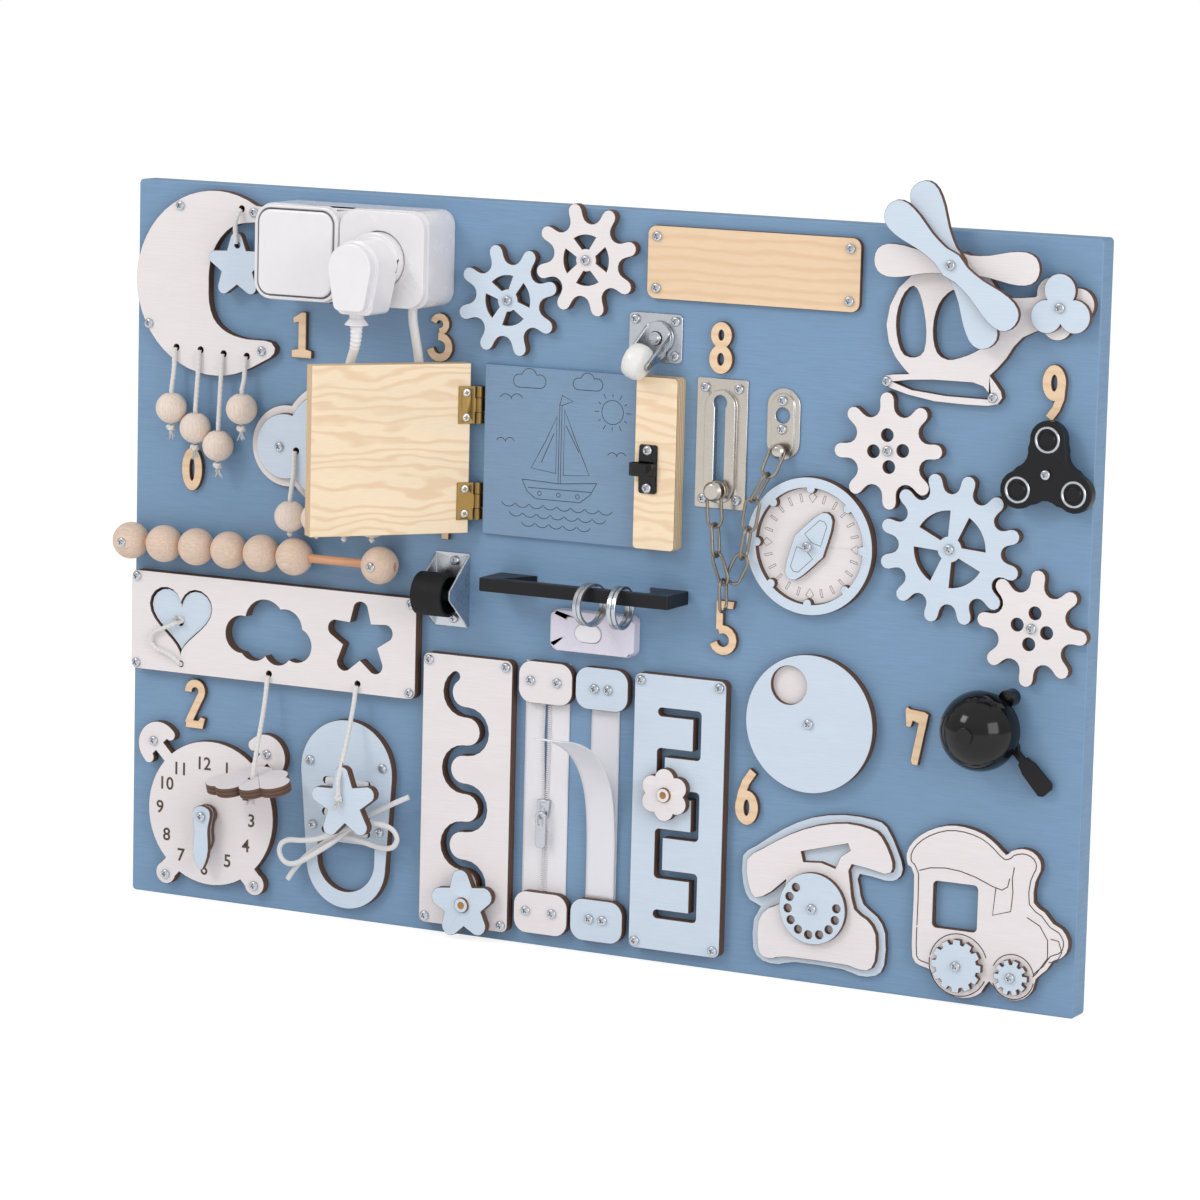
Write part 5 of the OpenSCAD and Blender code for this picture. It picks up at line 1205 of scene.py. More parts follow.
@dataclass
class CordWork:
    """Every cord of the board: bead cords, the shapes' cords, the shoe's lace and the lead."""

    moon_holes: tuple[Place, ...] = ((37.5, 405.5), (58, 405), (77.5, 403.5), (97, 403))
    moon_beads: tuple[float, ...] = (362, 349, 337.5, 365.5)
    cloud_x: tuple[float, ...] = (140, 162, 185, 208)
    cloud_beads: tuple[float, ...] = (291.6, 292, 291.6, 293)
    cloud_hole_y: float = 338.0
    moon_face: float = 7.0
    cloud_face: float = 8.0
    moon_bead_h: float = 13.0
    cloud_bead_h: float = 15.0
    charm_r: float = 11.3
    flat_share: float = 0.93
    cord_r: float = 1.8
    gap: float = 0.3

    def hung(self, name: str, body: str, x: float, y: float, z: float, hole_y: float, face: float,
             knot_r: float, fray: float = 1.0) -> None:
        """One bead's cord from its hole in the plate to the knot under the bead."""
        h = face + self.gap + self.cord_r
        half = self.charm_r * self.flat_share
        end = y - half - 1
        tied = knot(name + "_knot", body, (x, end - knot_r + 0.8, z), knot_r, Vector((0, 0, -1)), fray)
        Thread(name, body, [(x, hole_y, h), (x, hole_y - 6, h + 0.6), (x, hole_y - 16, h + 1),
                            (x, y + 14, z), (x, y + half, z), (x, end, z)],
               self.cord_r, Look.COTTON).declare()

    def bead_cords(self) -> None:
        """Cords of the moon's and the cloud's beads."""
        for k, ((x, y), bead) in enumerate(zip(self.moon_holes, self.moon_beads)):
            self.hung(f"moon_cord_{k + 1}", BODY["moon_beads"], x, bead, self.moon_bead_h, y,
                      self.moon_face, 3.6)
        for k, (x, bead) in enumerate(zip(self.cloud_x, self.cloud_beads)):
            self.hung(f"cloud_cord_{k + 1}", BODY["cloud_beads"], x, bead, self.cloud_bead_h,
                      self.cloud_hole_y, self.cloud_face, 2.1, 0.3)

    def shape_cords(self) -> None:
        """Cords of the sorter's heart, cloud and star, and the short one of the moon's star."""
        tied = knot("cloud_piece_knot", BODY["cloud_piece"], (121, 91, 31.6), 3.6, Vector((0, 0, -1)))
        Thread("cloud_piece_cord", BODY["cloud_piece"],
               [(120.7, 173.5, 11.1), (120.7, 160, 13), (120.8, 145, 17), (120.9, 128, 22.5),
                (121, 112, 27.5), (121, 98, 31), (121, 92.5, 31.5)],
               self.cord_r, Look.COTTON).declare()
        tied = knot("star_piece_knot", BODY["star_piece"], (194.6, 94.6, 33.2), 3.4, Vector((0, -0.3, -1)))
        Thread("star_piece_cord", BODY["star_piece"],
               [(194.7, 173.5, 11.1), (194.7, 160, 14), (194.7, 140, 21), (194.7, 120, 29),
                (194.6, 108, 34), (194.6, 97, 33.2)],
               self.cord_r, Look.COTTON).declare()
        tied = knot("heart_piece_knot", BODY["heart_piece"], (44.2, 206.4, 9.6), 3.4, Vector((0.2, -1, 0.4)))
        Thread("heart_cord", BODY["heart_piece"],
               [(44.2, 206, 9.2), (39, 203, 11.6), (31, 199.5, 12.2), (23.5, 195.5, 12.2),
                (21.5, 189.5, 12), (26, 184.5, 12), (33.5, 182.2, 12), (39.5, 180, 12.2), (44, 177, 12),
                (45.7, 174.5, 9.9), (45.7, 174.5, 1)],
               1.7, Look.COTTON).declare()
        Thread("moon_star_cord", BODY["moon_star"],
               [(91.1, 508, 9.1), (91.2, 500, 15.5), (91.4, 492, 15.7), (91.6, 484, 15.4)],
               self.cord_r, Look.COTTON).build()

    def lace(self) -> None:
        """The shoe's lace: three bars between the eyelets and the tied bow over them."""
        body = BODY["laces"]
        holes = ((101.5, 169.0, 203.0), (78.5, 168.6, 203.4), (65.5, 168.6, 203.4))
        bars = []
        for k, (y, x0, x1) in enumerate(holes):
            bar = Thread(f"lace_bar_{k + 1}", body, [(x0, y, 6.0), (x0 + 1.5, y, 8.6), (x0 + 6, y + 0.4, 9.1),
                                                     (186, y + 1, 9.4), (x1 - 6, y + 0.4, 9.1),
                                                     (x1 - 1.5, y, 8.6), (x1, y, 6.0)],
                         2.6, Look.LACE, strands=2, pitch=400.0, relief=0.04, flat=0.42)
            bars.append(bar.declare())
        bow = Thread("lace_bow", body,
                     [(140, 26, 10.4), (145, 33, 11), (152, 41, 12), (161, 49, 13), (171, 56, 14),
                      (181, 61.5, 14.6), (191, 63.5, 15), (202, 62, 14.6), (213, 59.5, 14),
                      (223, 58.5, 13.6), (230, 61, 14), (233, 67, 15), (230.5, 73, 16.5), (224.5, 76, 18),
                      (215, 77, 20), (204, 75.5, 21.6), (193, 71, 22.4), (182, 65.5, 22.2),
                      (170, 60.5, 21), (157, 58, 20), (146, 57, 19), (139, 53.5, 18), (136.5, 47.5, 17),
                      (139, 41.5, 16.6), (145, 39, 17), (153, 41, 17.6), (162, 46, 18), (172, 52.5, 18.4),
                      (181, 58.5, 18.6), (189, 65, 18.6), (197, 72, 18.2), (206, 79, 17), (217, 85.5, 15),
                      (229, 92, 13), (240, 97.5, 11.5)],
                     2.0, Look.LACE, strands=2, pitch=400.0, relief=0.04, flat=0.7)
        piece = bow.declare()
        for part in [piece, *bars]:
            stands_for(part, "laces")

    def lead(self) -> None:
        """The toy plug's lead and its ribbed strain relief."""
        loop = [(228 + 17.9 * math.cos(math.radians(a)), 378 + 26.7 * math.sin(math.radians(a)),
                 35.8 - 19.8 * math.cos(math.radians(a))) for a in range(180, 361, 18)]
        top = [(222, 438, 66), (222, 435, 66), (221.3, 428, 65.4), (219.3, 421.5, 63.6), (216, 415.9, 60.8),
               (212.8, 410.3, 58), (210.8, 403.8, 56.2), (210.1, 396.8, 55.6), (210.1, 387, 55.6)]
        end = [(245.9, 388, 16), (245.6, 400, 16.5), (244.6, 414, 17.9), (243, 428, 19.9),
               (241.8, 438, 21.2), (241.5, 444, 21.5), (241.5, 449, 21.5)]
        lead = Thread("plug_lead", BODY["plug_cord"], top + loop + end, 3.3, Look.LEAD, strands=1,
                      relief=0.0, sides=20, step=2.0)
        piece = lead.declare()
        stands_for(piece, "plug_cord")
        sleeve = Thread("plug_strain_relief", BODY["plug"],
                        [(222, 447, 66), (222, 438, 66), (222, 435, 66), (221.3, 428, 65.4),
                         (219.3, 421.5, 63.6)],
                        5.4, Look.ROCKER, strands=1, relief=0.0, sides=24, step=0.5,
                        swell=lambda s: (1 - s * 0.0125) * (1 - 0.07 * (1 + math.cos(s * 2.1)) * (s > 4)))
        sleeve.build()

    def build(self) -> None:
        """Makes every cord."""
        self.bead_cords()
        self.shape_cords()
        self.lace()
        self.lead()


# ---------------------------------------------------------------- ply work


@dataclass
class PlyWork:
    """The board and all the plates and turning shapes that are cut from ply."""

    white: tuple[str, ...] = ("moon_plate", "shoe_plate", "gear_white", "gear_upper", "gear_lower",
                              "rotor_back", "picture_plates", "sorter_plate", "maze_knob")
    pale: tuple[str, ...] = ("moon_star", "gear_blue", "gear_large", "rotor_middle", "rotor_front",
                             "tail_rotor", "compass_needle", "viewer_disc", "heart_piece", "star_piece",
                             "wave_knob", "hour_hand", "minute_hand", "phone_dial", "wheel_large",
                             "wheel_small")
    corded: tuple[str, ...] = ("moon_star", "heart_piece", "star_piece")
    layered: tuple[tuple[str, Look, Look], ...] = (("cloud_plate", Look.WHITE, Look.PALE),
                                                   ("dial_bases", Look.WHITE, Look.PALE),
                                                   ("phone_plate", Look.PALE, Look.WHITE))
    lower_face: float = 6.0

    def beside(self, x: float) -> Choice:
        """White left of a place on the board and pale blue right of it."""
        return lambda island: ((Look.WHITE if island.centre.x < x else Look.PALE), Look.BURNT)

    def trims(self, island: Island) -> tuple[Look, Look]:
        """Numerals and name plate are laser cut, the catch strip is sawn."""
        if island.size.z > 8:
            return Look.BIRCH, Look.PLY
        return Look.PLAIN_BIRCH, Look.BURNT

    def build(self) -> None:
        """Dresses the ply pieces."""
        take_over("board", both(Look.BOARD, Look.BOARD_EDGE), bevel=1.0, segments=2)
        for node in self.white:
            look = Look.PALE if node == "shoe_plate" else Look.WHITE
            take_over(node, both(look, Look.BURNT))
        for node in self.pale:
            take_over(node, both(Look.PALE, Look.BURNT), largest=node in self.corded,
                      cut=node == "minute_hand")
        take_over("cloud_piece", both(Look.WHITE, Look.BURNT), largest=True)
        for node, below, above in self.layered:
            take_over(node, both(below, Look.BURNT), over=(self.lower_face, above))
        take_over("slot_plates", self.beside(370))
        take_over("end_plates", self.beside(368))
        take_over("birch_trims", self.trims)
        take_over("door_panel", both(Look.PANEL, Look.BOARD_EDGE))
        take_over("door", both(Look.BIRCH, Look.PLY), bevel=0.6, segments=2)


# ---------------------------------------------------------------- drawn lines


def top_outline(node: str, low: Place, high: Place) -> list[Place]:
    """Outer outline of the uppermost face of a node's solid that lies in a window.

    Args:
        node: The CAD node.
        low: Lower left corner of the window on the board.
        high: Upper right corner.

    Returns:
        The outline's places in order.
    """
    bm, found = cad_islands(node)
    island = next(i for i in found if low[0] < i.centre.x < high[0] and low[1] < i.centre.y < high[1])
    top = [f for f in island.faces if f.normal.dot(OUT) > 0.9
           and on_board(f.calc_center_median()).z > island.high.z - 0.05]
    inside = set(top)
    ring: dict[int, list[int]] = {}
    for face in top:
        for loop in face.loops:
            if not all(f in inside for f in loop.edge.link_faces):
                ring.setdefault(loop.vert.index, []).append(loop.link_loop_next.vert.index)
    bm.verts.ensure_lookup_table()
    spots = {v.index: on_board(v.co) for v in bm.verts}
    best: list[int] = []
    while ring:
        start = next(iter(ring))
        chain, here = [], start
        while here in ring:
            chain.append(here)
            following = ring[here].pop()
            if not ring[here]:
                del ring[here]
            here = following
        span = max(spots[i].x for i in chain) - min(spots[i].x for i in chain)
        if not best or span > max(spots[i].x for i in best) - min(spots[i].x for i in best):
            best = chain
    line = [(spots[i].x, spots[i].y) for i in best]
    bm.free()
    return line


def inset(line: Sequence[Place], distance: float) -> list[Place]:
    """Line inside a closed outline, kept a distance away from all of it."""
    even: list[Vector] = []
    for k, p in enumerate(line):
        q = line[(k + 1) % len(line)]
        a, b = Vector(p), Vector(q)
        count = max(1, round((b - a).length / 1.2))
        even += [a + (b - a) * i / count for i in range(count)]
    area = sum(a.x * b.y - b.x * a.y for a, b in zip(even, even[1:] + even[:1]))
    turn = 1 if area > 0 else -1
    out = []
    for k, p in enumerate(even):
        t = (even[(k + 2) % len(even)] - even[k - 2]).normalized()
        q = p + Vector((-t.y, t.x)) * distance * turn
        if all((q - r).length > distance * 0.93 for r in even):
            out.append((q.x, q.y))
    return out


@dataclass
class Drawings:
    """Lines, ticks and figures that are burnt into the plates."""

    train_top: float = 6.0
    panel_top: float = 4.0
    clock_top: float = 7.0
    compass_c: Place = (546.7, 304.3)
    needle_turn: float = -32.0
    sun: Place = (392, 384)
    figures: tuple[tuple[str, float, float], ...] = (
        ("12", 65, 102), ("1", 85, 100), ("2", 101.5, 83), ("3", 106.5, 64), ("4", 102, 45),
        ("5", 86.5, 32), ("6", 66.5, 24), ("7", 46.5, 32), ("8", 34, 46), ("9", 28, 66), ("10", 33, 84),
        ("11", 45, 96))

    def train(self) -> None:
        """The engine's contour, roof, chimney, boiler and wheel guards."""
        drawn = Strokes("train_lines", BODY["picture_plates"], Look.INK, self.train_top, 0.85)
        wheels = (((667.0, 28.0), 21.5), ((707.0, 24.9), 15.4))
        line = inset(top_outline("picture_plates", (620, 0), (748, 128)), 3.6)
        kept: list[list[Place]] = [[]]
        for p in line:
            if all(math.dist(p, c) > r for c, r in wheels):
                kept[-1].append(p)
            elif kept[-1]:
                kept.append([])
        for part in kept:
            if len(part) > 3:
                drawn.add(part)
        drawn.add([(635.9, 89.8), (643.9, 92.5), (655.2, 93.7), (666.5, 92.7), (677.8, 89.8), (690.3, 85),
                   (697, 83.4), (701, 86), (702.4, 92)])
        drawn.add([(692.5, 84.6), (690.8, 65.4), (703.9, 69.5), (705, 82.4), (704.2, 92), (705.4, 100)])
        drawn.add([(715.9, 66.9), (725.4, 62.1), (731.4, 53), (731.8, 40.8), (724.4, 29.6), (721.5, 26.6)])
        drawn.add([(733.6, 54.2), (739.4, 53.4), (741.9, 46), (738.6, 39.2), (732.8, 38)])
        spans = (((20, 168), (172, 336)), ((10, 158), (202, 350)))
        for (centre, radius), steps, pair in zip(wheels, (26, 22), spans):
            for start, end in pair:
                drawn.arc(centre, radius, start, end, steps)
        drawn.build()

    def compass(self) -> None:
        """Double ticks round the face, a plain pointer at each quarter, and the needle's facets."""
        c = self.compass_c
        drawn = Strokes("compass_ticks", BODY["dial_bases"], Look.INK, 4.0, 0.5)
        for k in range(24):
            a = 15 * k
            if k % 6 == 0:
                drawn.add([polar(c, 29.5, a), polar(c, 34, a + 5), polar(c, 36.5, a), polar(c, 34, a - 5)],
                          True)
                continue
            drawn.add([polar(c, 30.5, a + 1.3), polar(c, 36, a + 1.1), polar(c, 36, a - 1.1),
                       polar(c, 30.5, a - 1.3)], True)
        drawn.build()
        needle = Strokes("needle_facets", BODY["compass_needle"], Look.INK, 8.3, 0.5)
        a = math.radians(self.needle_turn)
        facet = [(0, 21), (3.4, 19.6), (7.2, 5.4), (0, 3.4), (-7.2, 5.4), (-3.4, 19.6)]
        for side in (1, -1):
            needle.add([(c[0] + x * math.cos(a) - y * side * math.sin(a),
                         c[1] + x * math.sin(a) + y * side * math.cos(a)) for x, y in facet], True)
        needle.build()

    def panel(self) -> None:
        """A plain sailing boat on waves under a sun, engraved behind the door."""
        drawn = Strokes("panel_drawing", BODY["door_panel"], Look.PANEL_INK, self.panel_top, 0.6)
        drawn.add([(322, 332), (326, 324), (333, 319), (368, 319), (376, 325), (381, 333.5)])
        drawn.add([(322, 332), (352, 331), (381, 333.5)])
        drawn.add([(327, 326.5), (376.5, 327)])
        drawn.add([(350.5, 331), (350.5, 386), (352.3, 386), (352.3, 331)])
        drawn.add([(354.5, 383), (362, 366), (369, 351), (375, 338.5), (354.5, 337)], True)
        drawn.add([(348.5, 378), (340, 360), (329, 340.5), (348.5, 338)], True)
        drawn.add([(356, 372), (366.5, 354)])
        drawn.add([(346.5, 366), (337, 345)])
        drawn.add([(352.3, 386), (361, 389.5), (352.3, 393), (350.5, 386)])
        for cx in (336, 351, 366):
            drawn.circle((cx, 323), 1.5, 12)
        for row, (y, x0, count) in enumerate(((314, 306, 8), (307.5, 312, 7), (301, 322, 5))):
            for k in range(count):
                drawn.arc((x0 + 11 * k + 5.5, y + 4.4), 6.4, 215, 325, 8)
        drawn.circle(self.sun, 8.4, 30)
        for k in range(12):
            drawn.add([polar(self.sun, 10.6, 30 * k), polar(self.sun, 14.2 - 1.4 * (k % 2), 30 * k)])
        for cx, cy, s in ((312, 386, 1.0), (308, 356, 0.8), (396, 352, 0.8)):
            drawn.arc((cx - 4.4 * s, cy), 5 * s, 20, 150, 8)
            drawn.arc((cx + 4.6 * s, cy + 0.6 * s), 5 * s, 30, 160, 8)
        for cx, cy, r in ((326, 401, 1.0), (372, 402, 0.9)):
            drawn.add([polar((cx + dx * r, cy + dy * r), q * r, a) for dx, dy, q, lo, hi in
                       ((-8, 0, 4.6, 270, 90), (0, 3, 6, 165, 15), (8.4, 0.4, 4.8, 100, -90))
                       for a in [lo + (hi - lo) * i / 8 for i in range(9)]], True)
        drawn.build()

    def clock(self) -> None:
        """The clock's figures."""
        parts = []
        for text, x, y in self.figures:
            curve = bpy.data.curves.new("figure_" + text, "FONT")
            curve.body, curve.size, curve.extrude = text, 0.0132, 0.00008
            curve.align_x, curve.align_y = "CENTER", "CENTER"
            curve.offset = 0.00018
            curve.resolution_u = 4
            holder = in_scene("figure_" + text, curve)
            graph = bpy.context.evaluated_depsgraph_get()
            mesh = bpy.data.meshes.new_from_object(holder.evaluated_get(graph))
            bpy.data.objects.remove(holder)
            mesh.transform(Matrix.Translation(at(x, y, self.clock_top + 0.06))
                           @ Matrix.Rotation(math.pi / 2, 4, "X"))
            bm = bmesh.new()
            bm.from_mesh(mesh)
            parts.append(bm)
        whole = join(parts)
        uv = whole.loops.layers.uv.new(UV_NAME)
        for face in whole.faces:
            for loop in face.loops:
                loop[uv].uv = (loop.vert.co.x, loop.vert.co.z)
        show("clock_figures", to_mesh("clock_figures", whole), BODY["picture_plates"], [Look.INK])

    def build(self) -> None:
        """Draws everything."""
        self.train()
        self.compass()
        self.panel()
        self.clock()


# ---------------------------------------------------------------- beads


@dataclass
class Beads:
    """Turned wooden beads on the rod and on the cords."""

    rod_y: float = 262.5
    bead_r: float = 13.5
    rod_r: float = 3.25
    sliding: tuple[float, ...] = (33.3, 60.8, 88.3, 115.8, 143.3)
    ends: tuple[float, ...] = (4.8, 214.0)
    rod_past_bead: float = 11.5

    def profile(self, radius: float, half: float, bore: float) -> list[Place]:
        """Outline of a bored ball with flats and softened rims."""
        limit = math.asin(half / radius)
        points = [(-half + 0.5, bore), (-half, bore + 0.5)]
        for k in range(23):
            a = -limit + 2 * limit * k / 22
            points.append((radius * math.sin(a), radius * math.cos(a)))
        points += [(half, bore + 0.5), (half - 0.5, bore)]
        return points

    def build(self) -> None:
        """Makes the beads and the rod."""
        half = self.bead_r - 0.4
        axis_h = self.bead_r + 0.3
        line = Vector((1, 0, 0))
        loose = self.profile(self.bead_r, half, self.rod_r + 0.3)
        sliding = [lathe(loose, line, at(x, self.rod_y, axis_h), 56) for x in self.sliding]
        piece = show("abacus_beads_turned", to_mesh("abacus_beads_turned", join(sliding)),
                     BODY["abacus_beads"], [Look.ABACUS])
        stands_for(piece, "abacus_beads")
        tight = self.profile(self.bead_r, half, self.rod_r - 0.2)
        fixed = [lathe(tight, line, at(x, self.rod_y, axis_h), 56) for x in self.ends]
        piece = show("abacus_end_beads", to_mesh("abacus_end_beads", join(fixed)), BODY["abacus_rod"],
                     [Look.ABACUS])
        stands_for(piece, "abacus_rod")
        length = self.ends[1] - self.ends[0] + 2 * self.rod_past_bead
        ease = 0.7
        rod = lathe([(0, 0), (0, self.rod_r - ease), (ease, self.rod_r), (length - ease, self.rod_r),
                     (length, self.rod_r - ease), (length, 0)], line,
                    at(self.ends[0] - self.rod_past_bead, self.rod_y, axis_h), 32)
        show("abacus_rod_turned", to_mesh("abacus_rod_turned", rod), BODY["abacus_rod"], [Look.ROD])
        cords = CordWork()
        moon = zip((x for x, _ in cords.moon_holes), cords.moon_beads)
        cloud = zip(cords.cloud_x, cords.cloud_beads)
        groups = (("moon_beads", [(x, y, cords.moon_bead_h) for x, y in moon]),
                  ("cloud_beads", [(x, y, cords.cloud_bead_h) for x, y in cloud]))
        outline = self.profile(cords.charm_r, cords.charm_r * cords.flat_share, cords.cord_r + 0.4)
        for node, spots in groups:
            made = [lathe(outline, UP, at(*spot), 48) for spot in spots]
            piece = show(node + "_turned", to_mesh(node + "_turned", join(made)), BODY[node], [Look.HUNG])
            stands_for(piece, node)


# ---------------------------------------------------------------- fasteners, chain and metal


def pan_head(radius: float = 3.5, height: float = 2.3) -> bmesh.types.BMesh:
    """Pan head with a cross recess on a short shank, its top at the origin's height."""
    bm = bmesh.new()
    steps = 24
    flat = radius * 0.62
    arm, reach, deep = 0.55, radius * 0.52, 1.5

    def ring(r: float, z: float) -> list[bmesh.types.BMVert]:
        """Ring of points."""
        return [bm.verts.new((r * math.cos(2 * math.pi * k / steps) * MM,
                              r * math.sin(2 * math.pi * k / steps) * MM, z * MM))
                for k in range(steps)]

    levels = [(1.7, -height - 7), (1.7, -height), (radius * 0.97, -height), (radius, -height * 0.8),
              (radius, -height * 0.45), (radius * 0.9, -height * 0.2), (radius * 0.76, -height * 0.05),
              (flat, 0)]
    rings = [ring(r, z) for r, z in levels]
    for a, b in zip(rings, rings[1:]):
        for k in range(steps):
            m = (k + 1) % steps
            bm.faces.new((a[k], a[m], b[m], b[k]))
    bm.faces.new(list(reversed(rings[0])))
    cross = []
    for quarter in range(4):
        c, s = round(math.cos(quarter * math.pi / 2)), round(math.sin(quarter * math.pi / 2))
        for x, y in ((reach, -arm), (reach, arm), (arm, arm)):
            cross.append(((x * c - y * s), (x * s + y * c)))
    rim = [bm.verts.new((x * MM, y * MM, 0)) for x, y in cross]
    edges = [bm.edges.new((rim[k], rim[(k + 1) % 12])) for k in range(12)]
    border = [bm.edges.get((rings[-1][k], rings[-1][(k + 1) % steps])) for k in range(steps)]
    bmesh.ops.triangle_fill(bm, use_beauty=True, edges=edges + border)
    low = [bm.verts.new((x * 0.00072, y * 0.00072, -deep * MM)) for x, y in cross]
    for k in range(12):
        m = (k + 1) % 12
        bm.faces.new((rim[k], rim[m], low[m], low[k]))
    bm.faces.new(low)
    bmesh.ops.recalc_face_normals(bm, faces=bm.faces)
    return bm


def dome_cap(radius: float, height: float, depth: float = 1.0) -> bmesh.types.BMesh:
    """Low domed button on its own axis, standing on the origin."""
    profile = [(-depth, 0), (-depth, radius * 0.9), (0, radius)]
    profile += [(height * math.sin(math.radians(a)), radius * math.cos(math.radians(a)))
                for a in (12, 30, 48, 66)]
    profile += [(height, radius * 0.2), (height * 1.02, 0)]
    return lathe(profile, UP, Vector(), 28)


@dataclass
class Fasteners:
    """Screws and knob buttons, at the places of the CAD solids."""

    buttons: tuple[tuple[str, str, float, float], ...] = (("wave_button", "wave_knob", 5.7, 16.9),
                                                          ("maze_button", "maze_knob", 5.4, 14.3))
    button_rise: float = 2.3

    def build(self) -> None:
        """Sets every fastener."""
        bm, found = cad_islands("screws")
        screws = Copies("pan_head_screws", BODY["screws"], Look.ZINC, pan_head, loose=1.57, seed=11)
        for island in found:
            c = island.centre
            screws.facing_out(c.x, c.y, island.high.z)
        bm.free()
        stands_for(screws.build(), "screws")
        for name, node, radius, height in self.buttons:
            button = Copies(name, BODY[node], Look.BUTTON, lambda r=radius: dome_cap(r, self.button_rise),
                            seed=2)
            x, y = self.knob(node)
            button.facing_out(x, y, height)
            button.build()

    def knob(self, node: str) -> Place:
        """Axis of a knob, from the round foot that runs in the slot."""
        bm, found = cad_islands(node)
        low = min(i.low.z for i in found)
        spots = [on_board(v.co) for v in bm.verts]
        foot = [p for p in spots if p.z < low + 0.2]
        x = (min(p.x for p in foot) + max(p.x for p in foot)) / 2
        y = (min(p.y for p in foot) + max(p.y for p in foot)) / 2
        bm.free()
        return x, y


@dataclass
class Chain:
    """Nine welded links that hang from the slider in the track and rise to the anchor."""

    link_l: float = 25.0
    link_w: float = 13.0
    wire: float = 1.15
    down: tuple[tuple[float, float, float], ...] = ((-84, 0.08, 0), (-83, 0.08, 90), (-67, 0.08, 24))
    up: tuple[tuple[float, float, float], ...] = ((62, 0.1, 0), (80, 0.05, 90), (82, -0.05, 0),
                                                  (64, -0.15, 90), (74, -0.3, 0))
    start: Point = (475.0, 333.2, 10.4)
    lowest: tuple[float, float, float] = (-90, -0.1, 90)
    lowest_off: Point = (-1.5, 0.6, 0)
    up_off: Point = (4.3, 1.2, -1.8)

    @staticmethod
    def lay(degrees: float, rise: float) -> Vector:
        """Direction of a link in board axes."""
        a = math.radians(degrees)
        return Vector((math.cos(a), math.sin(a), rise)).normalized()

    def link(self) -> bmesh.types.BMesh:
        """One link about the origin, long along X in the plane of X and Y."""
        half, r = (self.link_l - self.link_w) / 2, self.link_w / 2 - self.wire
        line = []
        for side in (1, -1):
            for k in range(13):
                a = math.radians(-90 + 15 * k)
                line.append(Vector((side * (half + r * math.cos(a)), side * r * math.sin(a), 0)))
        bm = bmesh.new()
        count, sides = len(line), 12
        rings = []
        for i, p in enumerate(line):
            t = (line[(i + 1) % count] - line[i - 1]).normalized()
            n = Vector((0, 0, 1))
            b = t.cross(n)
            rings.append([bm.verts.new((p + (n * math.cos(2 * math.pi * k / sides)
                                             + b * math.sin(2 * math.pi * k / sides)) * self.wire) * MM)
                          for k in range(sides)])
        for i in range(count):
            for k in range(sides):
                m, j = (k + 1) % sides, (i + 1) % count
                bm.faces.new((rings[i][k], rings[i][m], rings[j][m], rings[j][k]))
        bmesh.ops.recalc_face_normals(bm, faces=bm.faces)
        return bm

    def build(self) -> None:
        """Sets the links."""
        pitch = self.link_l - 4 * self.wire - 0.3
        chain = Copies("chain_links", BODY["chain"], Look.CHAIN, self.link, seed=1, sharp=60.0)

        def place(pin: Vector, degrees: float, rise: float, twist: float) -> Vector:
            """Sets one link from its pin and gives the next pin."""
            d = self.lay(degrees, rise)
            middle = pin + pitch / 2 * d
            e0 = d.cross(UP).normalized()
            n0 = e0.cross(d)
            a = math.radians(twist)
            n = math.cos(a) * n0 + math.sin(a) * e0
            axes = [Vector((v.x, -v.z, v.y)) for v in (d, n.cross(d), n)]
            chain.spots.append((at(*middle), Matrix(axes).transposed()))
            return pin + pitch * d

        pin = Vector(self.start)
        for link in self.down:
            pin = place(pin, *link)
        place(pin + Vector(self.lowest_off), *self.lowest)
        pin = pin + Vector(self.up_off)
        for link in self.up:
            pin = place(pin, *link)
        stands_for(chain.build(), "chain")


@dataclass
class MetalWork:
    """Brackets, hinges, rings, the caster, the roller and the zip's puller."""

    pin: Place = (287.0, 5.0)
    door_turn: float = 131.0
    hinge_y: Place = (300.5, 368.5)

    def brackets(self, island: Island) -> tuple[Look, Look]:
        """The track and the anchor are brushed nickel, the rest is zinc or brass."""
        x, y = island.centre.x, island.centre.y
        if x > 450:
            return Look.NICKEL, Look.NICKEL
        if 280 < x < 304 and 290 < y < 400:
            return Look.BRASS, Look.BRASS
        return Look.ZINC, Look.ZINC

    def build(self) -> None:
        """Dresses the metal pieces."""
        for node, choice, bevel, segments in (
                ("metal_brackets", self.brackets, 0.25, 1), ("door_hinges", both(Look.BRASS), 0.15, 1),
                ("chain_slider", both(Look.NICKEL), 0.25, 1), ("key_rings", both(Look.ZINC), 0.3, 1),
                ("zip_slider", both(Look.ZINC), 0.3, 2), ("caster_fork", both(Look.ZINC), 0.25, 1),
                ("caster_wheel", both(Look.MILKY), 0.0, 1), ("roller", both(Look.RUBBER), 0.4, 2)):
            take_over(node, choice, bevel, segments)
        leaf = Copies("hinge_screws", BODY["door_hinges"], Look.ZINC, lambda: pan_head(3.15, 1.0), seed=4,
                      loose=1.57)
        turn = math.radians(self.door_turn)
        along = Vector((math.cos(turn), -math.sin(turn), 0))
        away = Vector((math.sin(turn), math.cos(turn), 0))
        frame_of_leaf = Matrix((UP.cross(away), UP, away)).transposed()
        for y in self.hinge_y:
            for step in (4.5, 22.0):
                pin = at(self.pin[0], y + step, self.pin[1])
                leaf.spots.append((pin + along * 0.0095 + away * 0.00085, frame_of_leaf))
        leaf.build()


